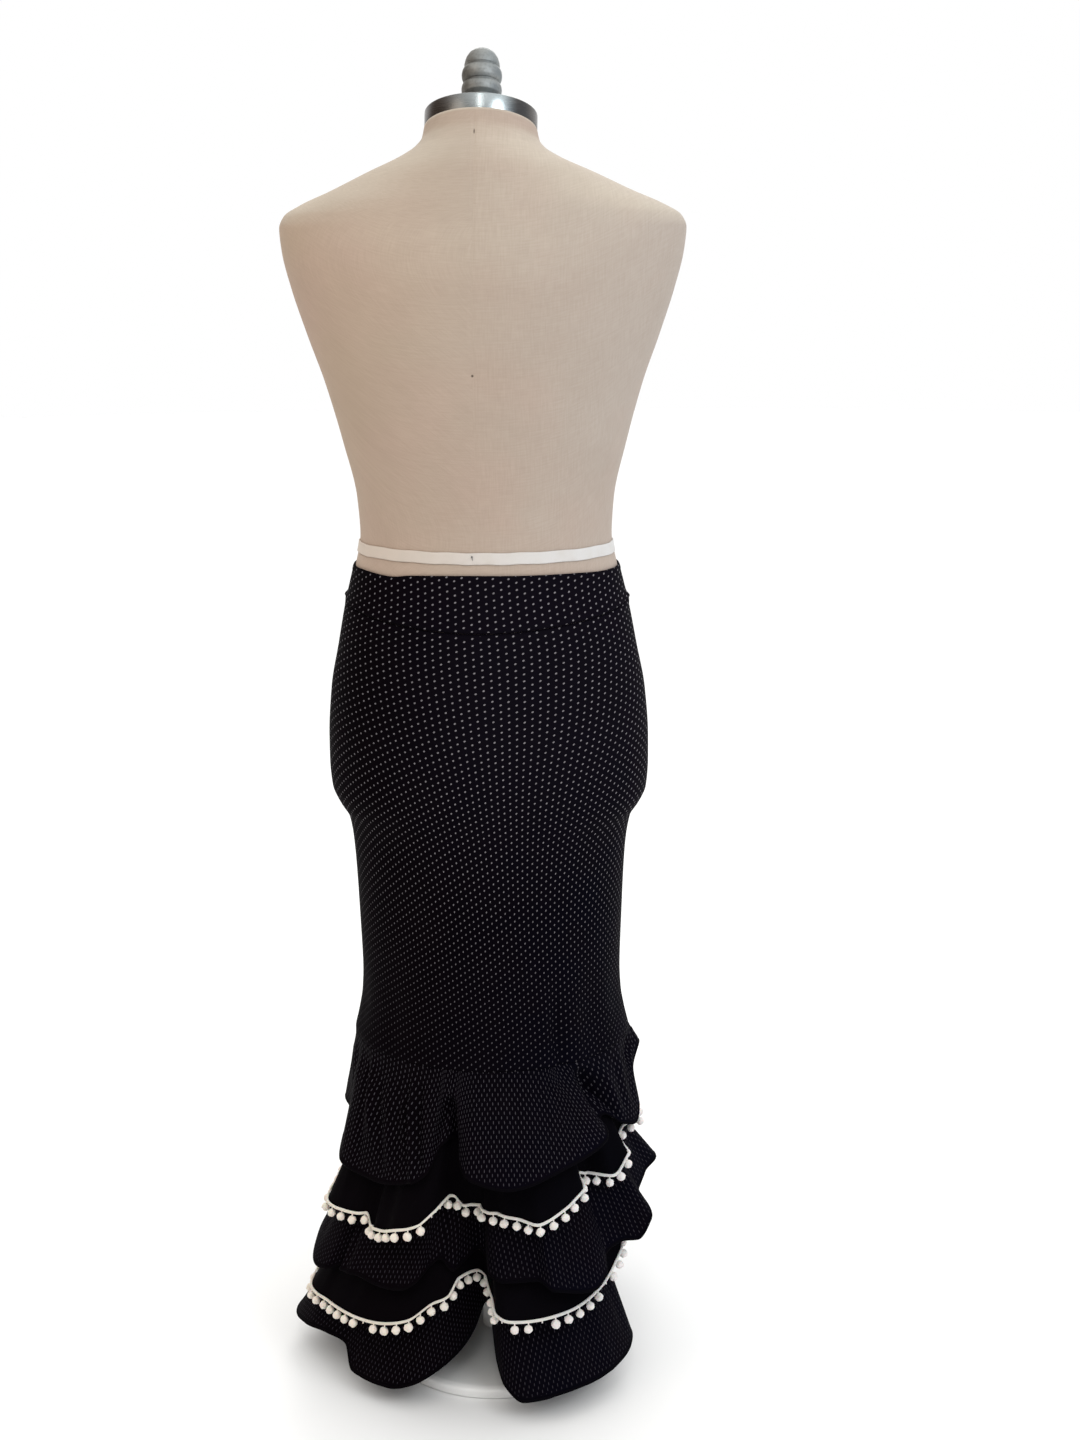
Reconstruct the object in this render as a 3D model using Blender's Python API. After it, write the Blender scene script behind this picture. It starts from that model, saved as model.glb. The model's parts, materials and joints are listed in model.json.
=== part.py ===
# Flamenco skirt with five flounces, worn on a limbless dress form with a round stand.
# Metres, +Z up. The back of the skirt faces -Y. The origin is under the middle of the base.
# Every angle is in degrees round the Z axis: 0 faces -Y and 90 faces +X.

from collections import namedtuple
from math import ceil, cos, pi, radians, sin, sqrt, tan

import bpy
from mathutils import Vector

for old in list(bpy.data.objects):
    bpy.data.objects.remove(old, do_unlink=True)

# Driving dimensions
cloth_wall = 0.0012         # thickness of every piece of cloth
seam_gap = 0.0003           # between neighbouring pieces
layer_gap = 0.0009          # between layers whose columns differ
waist_height = 0.976        # upper edge of the yoke
yoke_drop_back = 0.058      # depth of the yoke at the middle of the back
yoke_drop_side = 0.037      # depth of the yoke at the side seams
body_end = 0.420            # seam between the skirt body and the first flounce
underskirt_lap = 0.010      # the underskirt reaches this far up inside the body
underskirt_end = 0.212      # the last flounce hangs from this edge
trunk_end = 0.699           # lowest point of the dress form's trunk
fit_gap = 0.0005            # from the form to the cloth that it fills
tape_height = 0.9905        # lower edge of the waist tape
tape_width = 0.0125
tape_wall = 0.0008
neck_slope = 18.0           # the neck plate rises this steeply towards the back, degrees
neck_radius = 0.0598
neck_height = 1.4370        # middle of the neck plate's underside
plate_thickness = 0.0170
knob_height = 0.0708        # above the neck plate
pole_radius = 0.0125
base_radius = 0.140
base_thickness = 0.014
trim_band = 0.0040          # height of the woven band that carries the pompoms
trim_wall = 0.0022
pompom_pitch = 0.0157
pompom_radius = 0.0047
pompom_stem = 0.0012
pompom_away = 0.0010        # the pompoms hang a little outside of their band

Section = namedtuple("Section", "height width depth")       # half width in X, half depth in Y
TiltedSection = namedtuple("TiltedSection", "height width depth slope")
Fold = namedtuple("Fold", "angle radius height")            # a point of a flounce's hem
KnobRing = namedtuple("KnobRing", "share radius")           # share of the knob's height

# The dress form from the bottom of its trunk to the neck plate
form_sections = (
    TiltedSection(0.6990, 0.1480, 0.1080, 0.00),
    TiltedSection(0.7010, 0.1620, 0.1170, 0.00),
    TiltedSection(0.7080, 0.1725, 0.1235, 0.00),
    TiltedSection(0.7240, 0.1785, 0.1260, 0.00),
    TiltedSection(0.7620, 0.1803, 0.1278, 0.00),
    TiltedSection(0.8350, 0.1757, 0.1257, 0.00),
    TiltedSection(0.8840, 0.1662, 0.1200, 0.00),
    TiltedSection(0.9310, 0.1568, 0.1128, 0.00),
    TiltedSection(0.9750, 0.1468, 0.1052, 0.00),
    TiltedSection(1.0100, 0.1405, 0.1015, 0.00),
    TiltedSection(1.0500, 0.1427, 0.1025, 0.00),
    TiltedSection(1.1110, 0.1560, 0.1090, 0.00),
    TiltedSection(1.1770, 0.1738, 0.1150, 0.00),
    TiltedSection(1.2250, 0.1905, 0.1160, 0.00),
    TiltedSection(1.2750, 0.2065, 0.1125, 0.00),
    TiltedSection(1.3150, 0.2162, 0.1040, 0.00),
    TiltedSection(1.3380, 0.2184, 0.0965, 0.02),
    TiltedSection(1.3500, 0.2130, 0.0925, 0.04),
    TiltedSection(1.3600, 0.1960, 0.0890, 0.07),
    TiltedSection(1.3730, 0.1640, 0.0845, 0.11),
    TiltedSection(1.3900, 0.1250, 0.0790, 0.16),
    TiltedSection(1.4040, 0.0900, 0.0725, 0.21),
    TiltedSection(1.4140, 0.0720, 0.0665, 0.26),
    TiltedSection(1.4240, 0.0632, 0.0620, 0.30),
    TiltedSection(1.4370, 0.0598, 0.0598, tan(radians(18.0))),
)

# The fitted skirt, outside of the cloth
body_sections = (
    Section(0.9760, 0.1489, 0.1072),
    Section(0.9310, 0.1600, 0.1160),
    Section(0.8840, 0.1692, 0.1230),
    Section(0.8350, 0.1787, 0.1287),
    Section(0.7760, 0.1832, 0.1309),
    Section(0.7480, 0.1834, 0.1309),
    Section(0.7200, 0.1814, 0.1290),
    Section(0.7020, 0.1745, 0.1262),
    Section(0.6840, 0.1640, 0.1240),
    Section(0.6600, 0.1590, 0.1232),
    Section(0.6240, 0.1563, 0.1238),
    Section(0.5580, 0.1538, 0.1255),
    Section(0.4980, 0.1520, 0.1280),
    Section(0.4670, 0.1520, 0.1300),
    Section(0.4200, 0.1560, 0.1335),
)

# The plain underskirt that carries the lower flounces, outside of the cloth
underskirt_sections = (
    Section(0.4300, 0.1533, 0.1308),
    Section(0.4170, 0.1500, 0.1275),
    Section(0.3850, 0.1330, 0.1170),
    Section(0.3300, 0.1210, 0.1100),
    Section(0.2600, 0.1150, 0.1050),
    Section(0.2120, 0.1120, 0.1030),
)

# Hems of the flounces, one row for each ridge, flank or valley
tier_1_folds = (
    Fold(-172, 0.186, 0.302), Fold(-156, 0.166, 0.320), Fold(-142, 0.178, 0.308),
    Fold(-126, 0.184, 0.300), Fold(-110, 0.166, 0.318), Fold(-98, 0.176, 0.322),
    Fold(-88, 0.180, 0.322), Fold(-76, 0.172, 0.320), Fold(-66, 0.188, 0.300),
    Fold(-57, 0.200, 0.288), Fold(-41, 0.191, 0.285), Fold(-23, 0.190, 0.300),
    Fold(-18.5, 0.182, 0.310), Fold(-16, 0.145, 0.335), Fold(-12.5, 0.128, 0.340),
    Fold(-8, 0.162, 0.316), Fold(-2, 0.190, 0.312), Fold(11, 0.201, 0.306),
    Fold(30, 0.196, 0.320), Fold(49, 0.190, 0.334), Fold(53, 0.180, 0.342),
    Fold(57, 0.152, 0.348), Fold(65, 0.178, 0.330), Fold(72, 0.184, 0.323),
    Fold(79, 0.181, 0.334), Fold(86, 0.170, 0.372), Fold(96, 0.177, 0.393),
    Fold(112, 0.156, 0.365), Fold(130, 0.174, 0.325), Fold(146, 0.183, 0.310),
    Fold(160, 0.167, 0.324), Fold(174, 0.182, 0.308),
)
tier_2_folds = (
    Fold(-175, 0.190, 0.246), Fold(-160, 0.172, 0.262), Fold(-146, 0.184, 0.250),
    Fold(-130, 0.194, 0.242), Fold(-114, 0.180, 0.256), Fold(-98, 0.176, 0.260),
    Fold(-84, 0.172, 0.252), Fold(-71, 0.192, 0.240), Fold(-60, 0.213, 0.231),
    Fold(-53, 0.206, 0.232), Fold(-47.5, 0.198, 0.234), Fold(-45, 0.190, 0.235),
    Fold(-42, 0.189, 0.223), Fold(-38, 0.199, 0.228), Fold(-33, 0.201, 0.232),
    Fold(-28, 0.206, 0.241), Fold(-20, 0.200, 0.251), Fold(-16.5, 0.184, 0.262),
    Fold(-14, 0.152, 0.268), Fold(-8, 0.137, 0.252), Fold(2, 0.138, 0.253),
    Fold(9.5, 0.168, 0.255), Fold(16, 0.181, 0.255), Fold(21, 0.199, 0.257),
    Fold(30, 0.197, 0.269), Fold(38, 0.190, 0.281), Fold(43, 0.160, 0.285),
    Fold(48, 0.158, 0.280), Fold(54, 0.187, 0.280), Fold(61, 0.190, 0.297),
    Fold(66, 0.168, 0.306), Fold(71, 0.166, 0.312), Fold(79, 0.180, 0.319),
    Fold(88, 0.172, 0.325), Fold(99, 0.168, 0.318), Fold(110, 0.162, 0.298),
    Fold(126, 0.178, 0.268), Fold(142, 0.188, 0.252), Fold(156, 0.172, 0.264),
    Fold(170, 0.188, 0.248),
)
tier_3_folds = (
    Fold(-180, 0.204, 0.172), Fold(-166, 0.186, 0.188), Fold(-152, 0.200, 0.178),
    Fold(-138, 0.206, 0.172), Fold(-122, 0.190, 0.186), Fold(-106, 0.204, 0.174),
    Fold(-92, 0.194, 0.182), Fold(-76, 0.216, 0.162), Fold(-64, 0.229, 0.149),
    Fold(-57, 0.224, 0.155), Fold(-54.5, 0.205, 0.160), Fold(-51.5, 0.217, 0.162),
    Fold(-43, 0.209, 0.166), Fold(-34, 0.204, 0.163), Fold(-27, 0.201, 0.166),
    Fold(-21.5, 0.194, 0.178), Fold(-19.5, 0.172, 0.188), Fold(-17, 0.163, 0.194),
    Fold(-11, 0.146, 0.182), Fold(-3, 0.124, 0.190), Fold(1, 0.132, 0.184),
    Fold(3.5, 0.165, 0.180), Fold(9.5, 0.183, 0.181), Fold(21, 0.188, 0.182),
    Fold(24, 0.211, 0.180), Fold(38, 0.213, 0.168), Fold(45, 0.204, 0.175),
    Fold(50, 0.188, 0.190), Fold(56, 0.194, 0.197), Fold(60, 0.209, 0.198),
    Fold(65, 0.214, 0.216), Fold(76, 0.184, 0.231), Fold(86, 0.186, 0.236),
    Fold(96, 0.199, 0.239), Fold(105, 0.198, 0.230), Fold(114, 0.172, 0.218),
    Fold(128, 0.190, 0.196), Fold(142, 0.202, 0.182), Fold(154, 0.184, 0.194),
    Fold(166, 0.200, 0.178),
)
tier_4_folds = (
    Fold(-174, 0.200, 0.118), Fold(-160, 0.176, 0.138), Fold(-147, 0.192, 0.124),
    Fold(-132, 0.208, 0.117), Fold(-116, 0.200, 0.128), Fold(-104, 0.192, 0.136),
    Fold(-94, 0.196, 0.124), Fold(-83, 0.208, 0.113), Fold(-70, 0.229, 0.101),
    Fold(-60, 0.220, 0.104), Fold(-37, 0.209, 0.113), Fold(-25, 0.199, 0.125),
    Fold(-18, 0.181, 0.143), Fold(-13, 0.172, 0.150), Fold(-11, 0.150, 0.162),
    Fold(-4, 0.120, 0.157), Fold(1.5, 0.114, 0.143), Fold(4.2, 0.128, 0.136),
    Fold(6.5, 0.174, 0.132), Fold(11, 0.189, 0.132), Fold(31, 0.197, 0.138),
    Fold(47, 0.190, 0.150), Fold(58, 0.186, 0.173), Fold(72, 0.164, 0.190),
    Fold(88, 0.168, 0.204), Fold(102, 0.172, 0.196), Fold(118, 0.168, 0.148),
    Fold(132, 0.188, 0.125), Fold(146, 0.198, 0.120), Fold(159, 0.170, 0.138),
    Fold(172, 0.192, 0.122),
)
tier_5_folds = (
    Fold(-172, 0.201, 0.034), Fold(-158, 0.168, 0.052), Fold(-146, 0.192, 0.036),
    Fold(-131, 0.210, 0.030), Fold(-116, 0.202, 0.040), Fold(-104, 0.190, 0.050),
    Fold(-94, 0.230, 0.044), Fold(-84, 0.248, 0.038), Fold(-73, 0.238, 0.048),
    Fold(-62, 0.218, 0.056), Fold(-56, 0.204, 0.050), Fold(-50, 0.208, 0.028),
    Fold(-33, 0.200, 0.030), Fold(-25, 0.190, 0.038), Fold(-19, 0.165, 0.046),
    Fold(-12.5, 0.125, 0.056), Fold(-8.5, 0.104, 0.068), Fold(-1.5, 0.086, 0.096),
    Fold(2, 0.090, 0.090), Fold(4.2, 0.114, 0.072), Fold(6.2, 0.146, 0.054),
    Fold(9, 0.176, 0.042), Fold(15, 0.196, 0.033), Fold(36, 0.202, 0.040),
    Fold(58, 0.194, 0.040), Fold(70, 0.184, 0.044), Fold(84, 0.146, 0.060),
    Fold(104, 0.146, 0.050), Fold(120, 0.156, 0.044), Fold(134, 0.182, 0.036),
    Fold(148, 0.205, 0.032), Fold(161, 0.182, 0.044), Fold(174, 0.203, 0.032),
)

# The overlapping flap at the right of the first flounce leans: its gathers start nearer the middle
flap_angle = 51.0
flap_lean = 13.0
flap_spread = 14.0

Tier = namedtuple("Tier", "name top folds clearance rows trimmed")
# clearance: from the hem to the flounce below, so that pompoms have room
tiers = (
    Tier("tier_1", body_end - seam_gap, tier_1_folds, 0.0045, 4, False),
    Tier("tier_2", 0.385, tier_2_folds, 0.0085, 3, True),
    Tier("tier_3", 0.325, tier_3_folds, 0.0045, 3, False),
    Tier("tier_4", 0.268, tier_4_folds, 0.0085, 3, True),
    Tier("tier_5", underskirt_end - seam_gap, tier_5_folds, 0.0000, 3, False),
)
fold_step = 0.0225          # longest stretch of hem between two columns of a flounce
flare = 0.85                # under 1, a flounce springs out just below its seam

knob_rings = (
    KnobRing(0.00, 0.0165), KnobRing(0.25, 0.0165), KnobRing(0.29, 0.0207),
    KnobRing(0.365, 0.0214), KnobRing(0.44, 0.0210), KnobRing(0.50, 0.0200),
    KnobRing(0.56, 0.0210), KnobRing(0.64, 0.0214), KnobRing(0.72, 0.0206),
    KnobRing(0.77, 0.0192), KnobRing(0.85, 0.0178), KnobRing(0.92, 0.0144),
    KnobRing(0.97, 0.0092), KnobRing(1.00, 0.0020),
)


# Surfaces and colours


def make_material(name, colour, roughness, metallic=0.0):
    material = bpy.data.materials.new(name)
    material.use_nodes = True
    shader = material.node_tree.nodes["Principled BSDF"]
    shader.inputs["Base Color"].default_value = (*colour, 1.0)
    shader.inputs["Roughness"].default_value = roughness
    shader.inputs["Metallic"].default_value = metallic
    material.diffuse_color = (*colour, 1.0)
    return material


# Curves through the tables


def monotone_slopes(knots, values):
    """Slopes that keep a curve through the values from overshooting."""
    gaps = [b - a for a, b in zip(knots, knots[1:])]
    rises = [(b - a) / gap for a, b, gap in zip(values, values[1:], gaps)]
    slopes = [rises[0]]
    for before, after in zip(rises, rises[1:]):
        slopes.append(0.0 if before * after <= 0 else 2 * before * after / (before + after))
    slopes.append(rises[-1])
    return slopes


def curve_through(knots, values):
    """A smooth function through rising knots."""
    slopes = monotone_slopes(knots, values)

    def at(x):
        x = min(max(x, knots[0]), knots[-1])
        i = 0
        while i < len(knots) - 2 and x > knots[i + 1]:
            i += 1
        gap = knots[i + 1] - knots[i]
        t = (x - knots[i]) / gap
        start = (1 + 2 * t) * (1 - t) ** 2 * values[i] + t * (1 - t) ** 2 * gap * slopes[i]
        end = t * t * (3 - 2 * t) * values[i + 1] + t * t * (t - 1) * gap * slopes[i + 1]
        return start + end

    return at


def section_curves(sections):
    """Functions of the height, one for each other column of a section table."""
    rows = sorted(sections)
    heights = [row.height for row in rows]
    return [curve_through(heights, column) for column in list(zip(*rows))[1:]]


def hem_curves(folds):
    """Periodic functions of the angle: hem radius and hem height."""
    rows = sorted(folds)
    lapped = [row._replace(angle=row.angle - 360) for row in rows[-3:]]
    lapped += rows
    lapped += [row._replace(angle=row.angle + 360) for row in rows[:3]]
    angles = [row.angle for row in lapped]
    return (
        curve_through(angles, [row.radius for row in lapped]),
        curve_through(angles, [row.height for row in lapped]),
    )


def wrapped(angle):
    return (angle + 180) % 360 - 180


def oval_radius(angle, width, depth, power=2.0):
    across = (abs(sin(radians(angle))) / width) ** power
    along = (abs(cos(radians(angle))) / depth) ** power
    return (across + along) ** (-1 / power)


def place(angle, radius, height):
    return Vector((radius * sin(radians(angle)), -radius * cos(radians(angle)), height))


# Closed solids from grids of points, whose rows run from the top down


def grid_normals(grid, closed):
    """Outward unit normals of a grid whose columns go round anticlockwise."""
    rows, columns = len(grid), len(grid[0])
    normals = []
    for i in range(rows):
        line = []
        for j in range(columns):
            after = (j + 1) % columns if closed else min(j + 1, columns - 1)
            before = (j - 1) % columns if closed else max(j - 1, 0)
            along = grid[i][after] - grid[i][before]
            if not closed and j in (0, columns - 1):
                along = Vector((0, along.y, 0))     # a side seam, where the cloth runs front to back
            down = grid[min(i + 1, rows - 1)][j] - grid[max(i - 1, 0)][j]
            line.append(down.cross(along).normalized())
        normals.append(line)
    return normals


def offset_grid(grid, distance, closed):
    normals = grid_normals(grid, closed)
    return [
        [point + normal * distance for point, normal in zip(line, turned)]
        for line, turned in zip(grid, normals)
    ]


def add_object(name, points, faces, material, parent):
    mesh = bpy.data.meshes.new(name)
    mesh.from_pydata([tuple(point) for point in points], [], faces)
    mesh.materials.append(material)
    mesh.update()
    for face in mesh.polygons:
        face.use_smooth = True
    made = bpy.data.objects.new(name, mesh)
    bpy.context.scene.collection.objects.link(made)
    made.parent = parent
    return made


def cloth_from_grid(name, outer, closed, material, parent, wall=cloth_wall):
    """A wall of cloth inside the given outer grid: a ring if closed, or else a panel."""
    inner = offset_grid(outer, -wall, closed)
    rows, columns = len(outer), len(outer[0])
    points = [point for line in outer for point in line]
    points += [point for line in inner for point in line]
    inside = rows * columns
    last = columns if closed else columns - 1
    faces = []
    for j in range(last):
        k = (j + 1) % columns
        for i in range(rows - 1):
            a, b, c, d = i * columns + j, (i + 1) * columns + j, (i + 1) * columns + k, i * columns + k
            faces.append((a, b, c, d))
            faces.append((inside + d, inside + c, inside + b, inside + a))
        foot = (rows - 1) * columns
        faces.append((j, k, inside + k, inside + j))
        faces.append((foot + k, foot + j, inside + foot + j, inside + foot + k))
    if not closed:
        for i in range(rows - 1):
            a, b = i * columns, (i + 1) * columns
            faces.append((b, a, inside + a, inside + b))
            a, b = a + columns - 1, b + columns - 1
            faces.append((a, b, inside + b, inside + a))
    return add_object(name, points, faces, material, parent)


def solid_from_rings(name, rings, material, parent):
    """A closed solid through rings that run from the top down, with flat ends."""
    columns = len(rings[0])
    points = [point for ring in rings for point in ring]
    faces = [tuple(range(columns))]
    for i in range(len(rings) - 1):
        for j in range(columns):
            k = (j + 1) % columns
            faces.append((i * columns + j, (i + 1) * columns + j, (i + 1) * columns + k, i * columns + k))
    foot = (len(rings) - 1) * columns
    faces.append(tuple(foot + j for j in reversed(range(columns))))
    return add_object(name, points, faces, material, parent)


# The dress form and its stand


form_columns = 32
form_width, form_depth, form_slope = section_curves(form_sections)


def form_power(height):
    """Flatter back and squarer shoulders above the waist, a round neck."""
    rise = min(max((height - 1.02) / 0.25, 0.0), 1.0)
    neck = min(max((height - 1.36) / 0.05, 0.0), 1.0)
    return 2.0 + 0.35 * rise * (1 - neck)


def form_point(angle, height, away=0.0):
    radius = oval_radius(angle, form_width(height) + away, form_depth(height) + away, form_power(height))
    point = place(angle, radius, height)
    point.z -= form_slope(height) * point.y
    return point


def build_form(material, parent):
    heights = [row.height for row in form_sections] + [tape_height, tape_height + tape_width]
    rings = []
    for height in sorted(heights, reverse=True):
        ring = [form_point(360 * j / form_columns, height) for j in range(form_columns)]
        rings.append(ring)
    return solid_from_rings("form_torso", rings, material, parent)


def build_tape(material, parent):
    outer = []
    for height in (tape_height + tape_width, tape_height):
        away = seam_gap + tape_wall
        outer.append([form_point(360 * j / form_columns, height, away) for j in range(form_columns)])
    return cloth_from_grid("waist_tape", outer, True, material, parent, tape_wall)


def neck_frame(point):
    """Turns a point given above the neck plate's underside into the part's frame."""
    slope = radians(neck_slope)
    y = point.y * cos(slope) + point.z * sin(slope)
    z = point.z * cos(slope) - point.y * sin(slope)
    return Vector((point.x, y, neck_height + z))


def build_neck_plate(material, parent):
    columns = 40
    rings = []
    edge = 0.0010
    rises = (
        (plate_thickness, neck_radius - edge),
        (plate_thickness - edge, neck_radius),
        (edge + seam_gap, neck_radius),
        (seam_gap, neck_radius - edge),
    )
    for height, radius in rises:
        ring = [place(360 * j / columns, radius, height) for j in range(columns)]
        rings.append([neck_frame(point) for point in ring])
    return solid_from_rings("neck_plate", rings, material, parent)


def build_knob(material, parent):
    columns = 20
    foot = plate_thickness + seam_gap
    rings = []
    for row in reversed(knob_rings):
        height = foot + knob_height * row.share
        ring = [place(360 * j / columns, row.radius, height) for j in range(columns)]
        rings.append([neck_frame(point) for point in ring])
    return solid_from_rings("knob", rings, material, parent)


def build_pole(material, parent):
    columns = 20
    rings = []
    for height in (trunk_end - seam_gap, base_thickness + seam_gap):
        rings.append([place(360 * j / columns, pole_radius, height) for j in range(columns)])
    return solid_from_rings("pole", rings, material, parent)


def build_base(material, parent):
    columns = 48
    edge = 0.004
    rings = []
    rises = (
        (base_thickness, base_radius - edge),
        (base_thickness - edge, base_radius),
        (0.0, base_radius),
    )
    for height, radius in rises:
        rings.append([place(360 * j / columns, radius, height) for j in range(columns)])
    return solid_from_rings("base", rings, material, parent)


# The fitted upper skirt


body_width, body_depth = section_curves(body_sections)
under_width, under_depth = section_curves(underskirt_sections)


def body_point(angle, height):
    return place(angle, oval_radius(angle, body_width(height), body_depth(height)), height)


def under_radius(angle, height):
    return oval_radius(angle, under_width(height), under_depth(height))


def yoke_drop(angle):
    return yoke_drop_side + (yoke_drop_back - yoke_drop_side) * abs(cos(radians(angle)))


def panel_angles(middle, columns):
    """From one side seam to the other, a seam gap short of each."""
    reach = 90 - (seam_gap / 2) / 0.16 * 180 / pi
    return [middle - reach + 2 * reach * j / columns for j in range(columns + 1)]


def build_yoke(name, middle, material, parent):
    outer = []
    for share in (0.0, 0.5, 1.0):
        line = [
            body_point(angle, waist_height - share * yoke_drop(angle))
            for angle in panel_angles(middle, 22)
        ]
        outer.append(line)
    return cloth_from_grid(name, outer, False, material, parent)


def build_body_panel(name, middle, material, parent):
    heights = [0.884, 0.835, 0.79, 0.748, 0.72, 0.702, 0.684, 0.66, 0.60, 0.52, body_end]
    angles = panel_angles(middle, 22)
    outer = [[body_point(angle, waist_height - yoke_drop(angle) - seam_gap) for angle in angles]]
    for height in heights:
        outer.append([body_point(angle, height) for angle in angles])
    return cloth_from_grid(name, outer, False, material, parent)


def build_underskirt(material, parent):
    columns = 34
    heights = [body_end + underskirt_lap, 0.417, 0.385, 0.33, 0.26, underskirt_end]
    outer = []
    for height in heights:
        line = []
        for j in range(columns):
            angle = 360 * j / columns
            radius = under_radius(angle, height)
            if height > body_end:
                lapped = (body_point(angle, height).xy.length, cloth_wall, 2 * seam_gap)
                radius = lapped[0] - lapped[1] - lapped[2]
            line.append(place(angle, radius, height))
        outer.append(line)
    return cloth_from_grid("underskirt", outer, True, material, parent)


# The flounces


hems = {tier.name: hem_curves(tier.folds) for tier in tiers}


def top_radius(number, angle):
    if number == 0:
        return body_point(angle, body_end).xy.length
    if number == len(tiers) - 1:
        return under_radius(angle, underskirt_end)
    return under_radius(angle, tiers[number].top) + cloth_wall + layer_gap


def tier_radius(number, angle, height):
    """Outer radius of a flounce at an angle and a height, clear of the flounces inside it."""
    tier = tiers[number]
    hem_radius, hem_height = hems[tier.name]
    angle = wrapped(angle)
    fall = (tier.top - height) / (tier.top - hem_height(angle))
    fall = min(max(fall, 0.0), 1.0)
    start = top_radius(number, angle)
    radius = start + (hem_radius(angle) - start) * fall ** flare
    if number + 1 < len(tiers) and height < tiers[number + 1].top + 0.004:
        inner = max(tier_radius(number + 1, angle + turn, height) for turn in (-2.0, 0.0, 2.0))
        wanted = inner + 2 * cloth_wall + tier.clearance * fall ** 1.5
        blend = 0.002
        radius = (radius + wanted + sqrt((radius - wanted) ** 2 + blend ** 2)) / 2
    return radius


def fold_angles(tier):
    """Angles of a flounce's columns: close on the steep flanks, wide on the lobes."""
    rows = sorted(tier.folds)
    angles = []
    for row, after in zip(rows, rows[1:] + [rows[0]._replace(angle=rows[0].angle + 360)]):
        turn = after.angle - row.angle
        sideways = radians(turn) * (row.radius + after.radius) / 2
        length = sqrt(sideways ** 2 + (after.radius - row.radius) ** 2)
        parts = max(1, ceil(length / fold_step))
        angles += [row.angle + turn * part / parts for part in range(parts)]
    return angles


def pompom_angles(number):
    """Angles of the columns of a trimmed flounce: one column for each pompom along its hem."""
    steps = 1440
    dense = [tier_point(number, 360 * step / steps, 1.0) for step in range(steps + 1)]
    lengths = [(after - before).length for before, after in zip(dense, dense[1:])]
    count = round(sum(lengths) / pompom_pitch)
    spacing = sum(lengths) / count
    angles = []
    travelled = 0.0
    for step, length in enumerate(lengths):
        while len(angles) < count and len(angles) * spacing <= travelled + length:
            share = (len(angles) * spacing - travelled) / length
            angles.append(360 * (step + share) / steps)
        travelled += length
    return angles


def lean(number, angle):
    """Turns the gathers of the first flounce towards the middle where its flap is."""
    if number:
        return 0.0
    away = (wrapped(angle) - flap_angle) / flap_spread
    return flap_lean * 2.718281828 ** (-away * away)


def tier_point(number, angle, fall):
    tier = tiers[number]
    _, hem_height = hems[tier.name]
    height = tier.top + (hem_height(wrapped(angle)) - tier.top) * fall
    radius = tier_radius(number, angle, height)
    if number == 0:
        edge = body_point(angle - lean(number, angle) * (1 - fall), body_end).xy.length
        blend = min(fall * 3, 1.0)
        radius = edge * (1 - blend) + radius * blend
    return place(angle - lean(number, angle) * (1 - fall), radius, height)


def tier_grid(number):
    tier = tiers[number]
    angles = pompom_angles(number) if tier.trimmed else fold_angles(tier)
    grid = []
    for row in range(tier.rows + 1):
        grid.append([tier_point(number, angle, row / tier.rows) for angle in angles])
    return grid


def build_tier(number, material, parent):
    return cloth_from_grid(tiers[number].name, tier_grid(number), True, material, parent)


# The pompom trims


def build_trim(name, number, material, parent):
    """A woven band of three sides round a hem, with a pompom fused under half of each piece."""
    grid = tier_grid(number)
    hem, above = grid[-1], grid[-2]
    turned = grid_normals(grid, True)[-1]
    columns = len(hem)
    path = []
    for j in range(columns):
        k = (j + 1) % columns
        for share in (0.0, 0.5):
            foot = hem[j].lerp(hem[k], share)
            head = above[j].lerp(above[k], share)
            outward = turned[j].lerp(turned[k], share).normalized()
            head = foot.lerp(head, trim_band / (head - foot).length)
            path.append((foot, head, outward))
    points, faces = [], []
    for foot, head, outward in path:
        points.append(head + outward * 2 * seam_gap)
        points.append(foot + outward * 2 * seam_gap)
        points.append(foot + outward * trim_wall)
    count = len(path)
    for i in range(count):
        k = (i + 1) % count
        top, back, front = 3 * i, 3 * i + 1, 3 * i + 2
        next_top, next_back, next_front = 3 * k, 3 * k + 1, 3 * k + 2
        faces.append((top, next_top, next_back, back))
        faces.append((front, next_front, next_top, top))
        root = (back, next_back, next_front, front)
        if i % 2:
            faces.append(root)
            continue
        middle = sum((points[corner] for corner in root), Vector()) / 4
        along = (points[next_back] - points[back]).normalized()
        outward = Vector((along.y, -along.x, 0)).normalized()
        centre = middle + outward * pompom_away - Vector((0, 0, pompom_stem + pompom_radius))
        first = len(points)
        for side, across in ((-1, -1), (1, -1), (1, 1), (-1, 1)):
            corner = (along * side + outward * across) * pompom_radius * 0.85
            points.append(centre + corner)
        points.append(centre - Vector((0, 0, pompom_radius)))
        for corner in range(4):
            after = (corner + 1) % 4
            faces.append((root[corner], root[after], first + after, first + corner))
            faces.append((first + corner, first + after, first + 4))
    return add_object(name, points, faces, material, parent)


# Assembly


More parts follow.
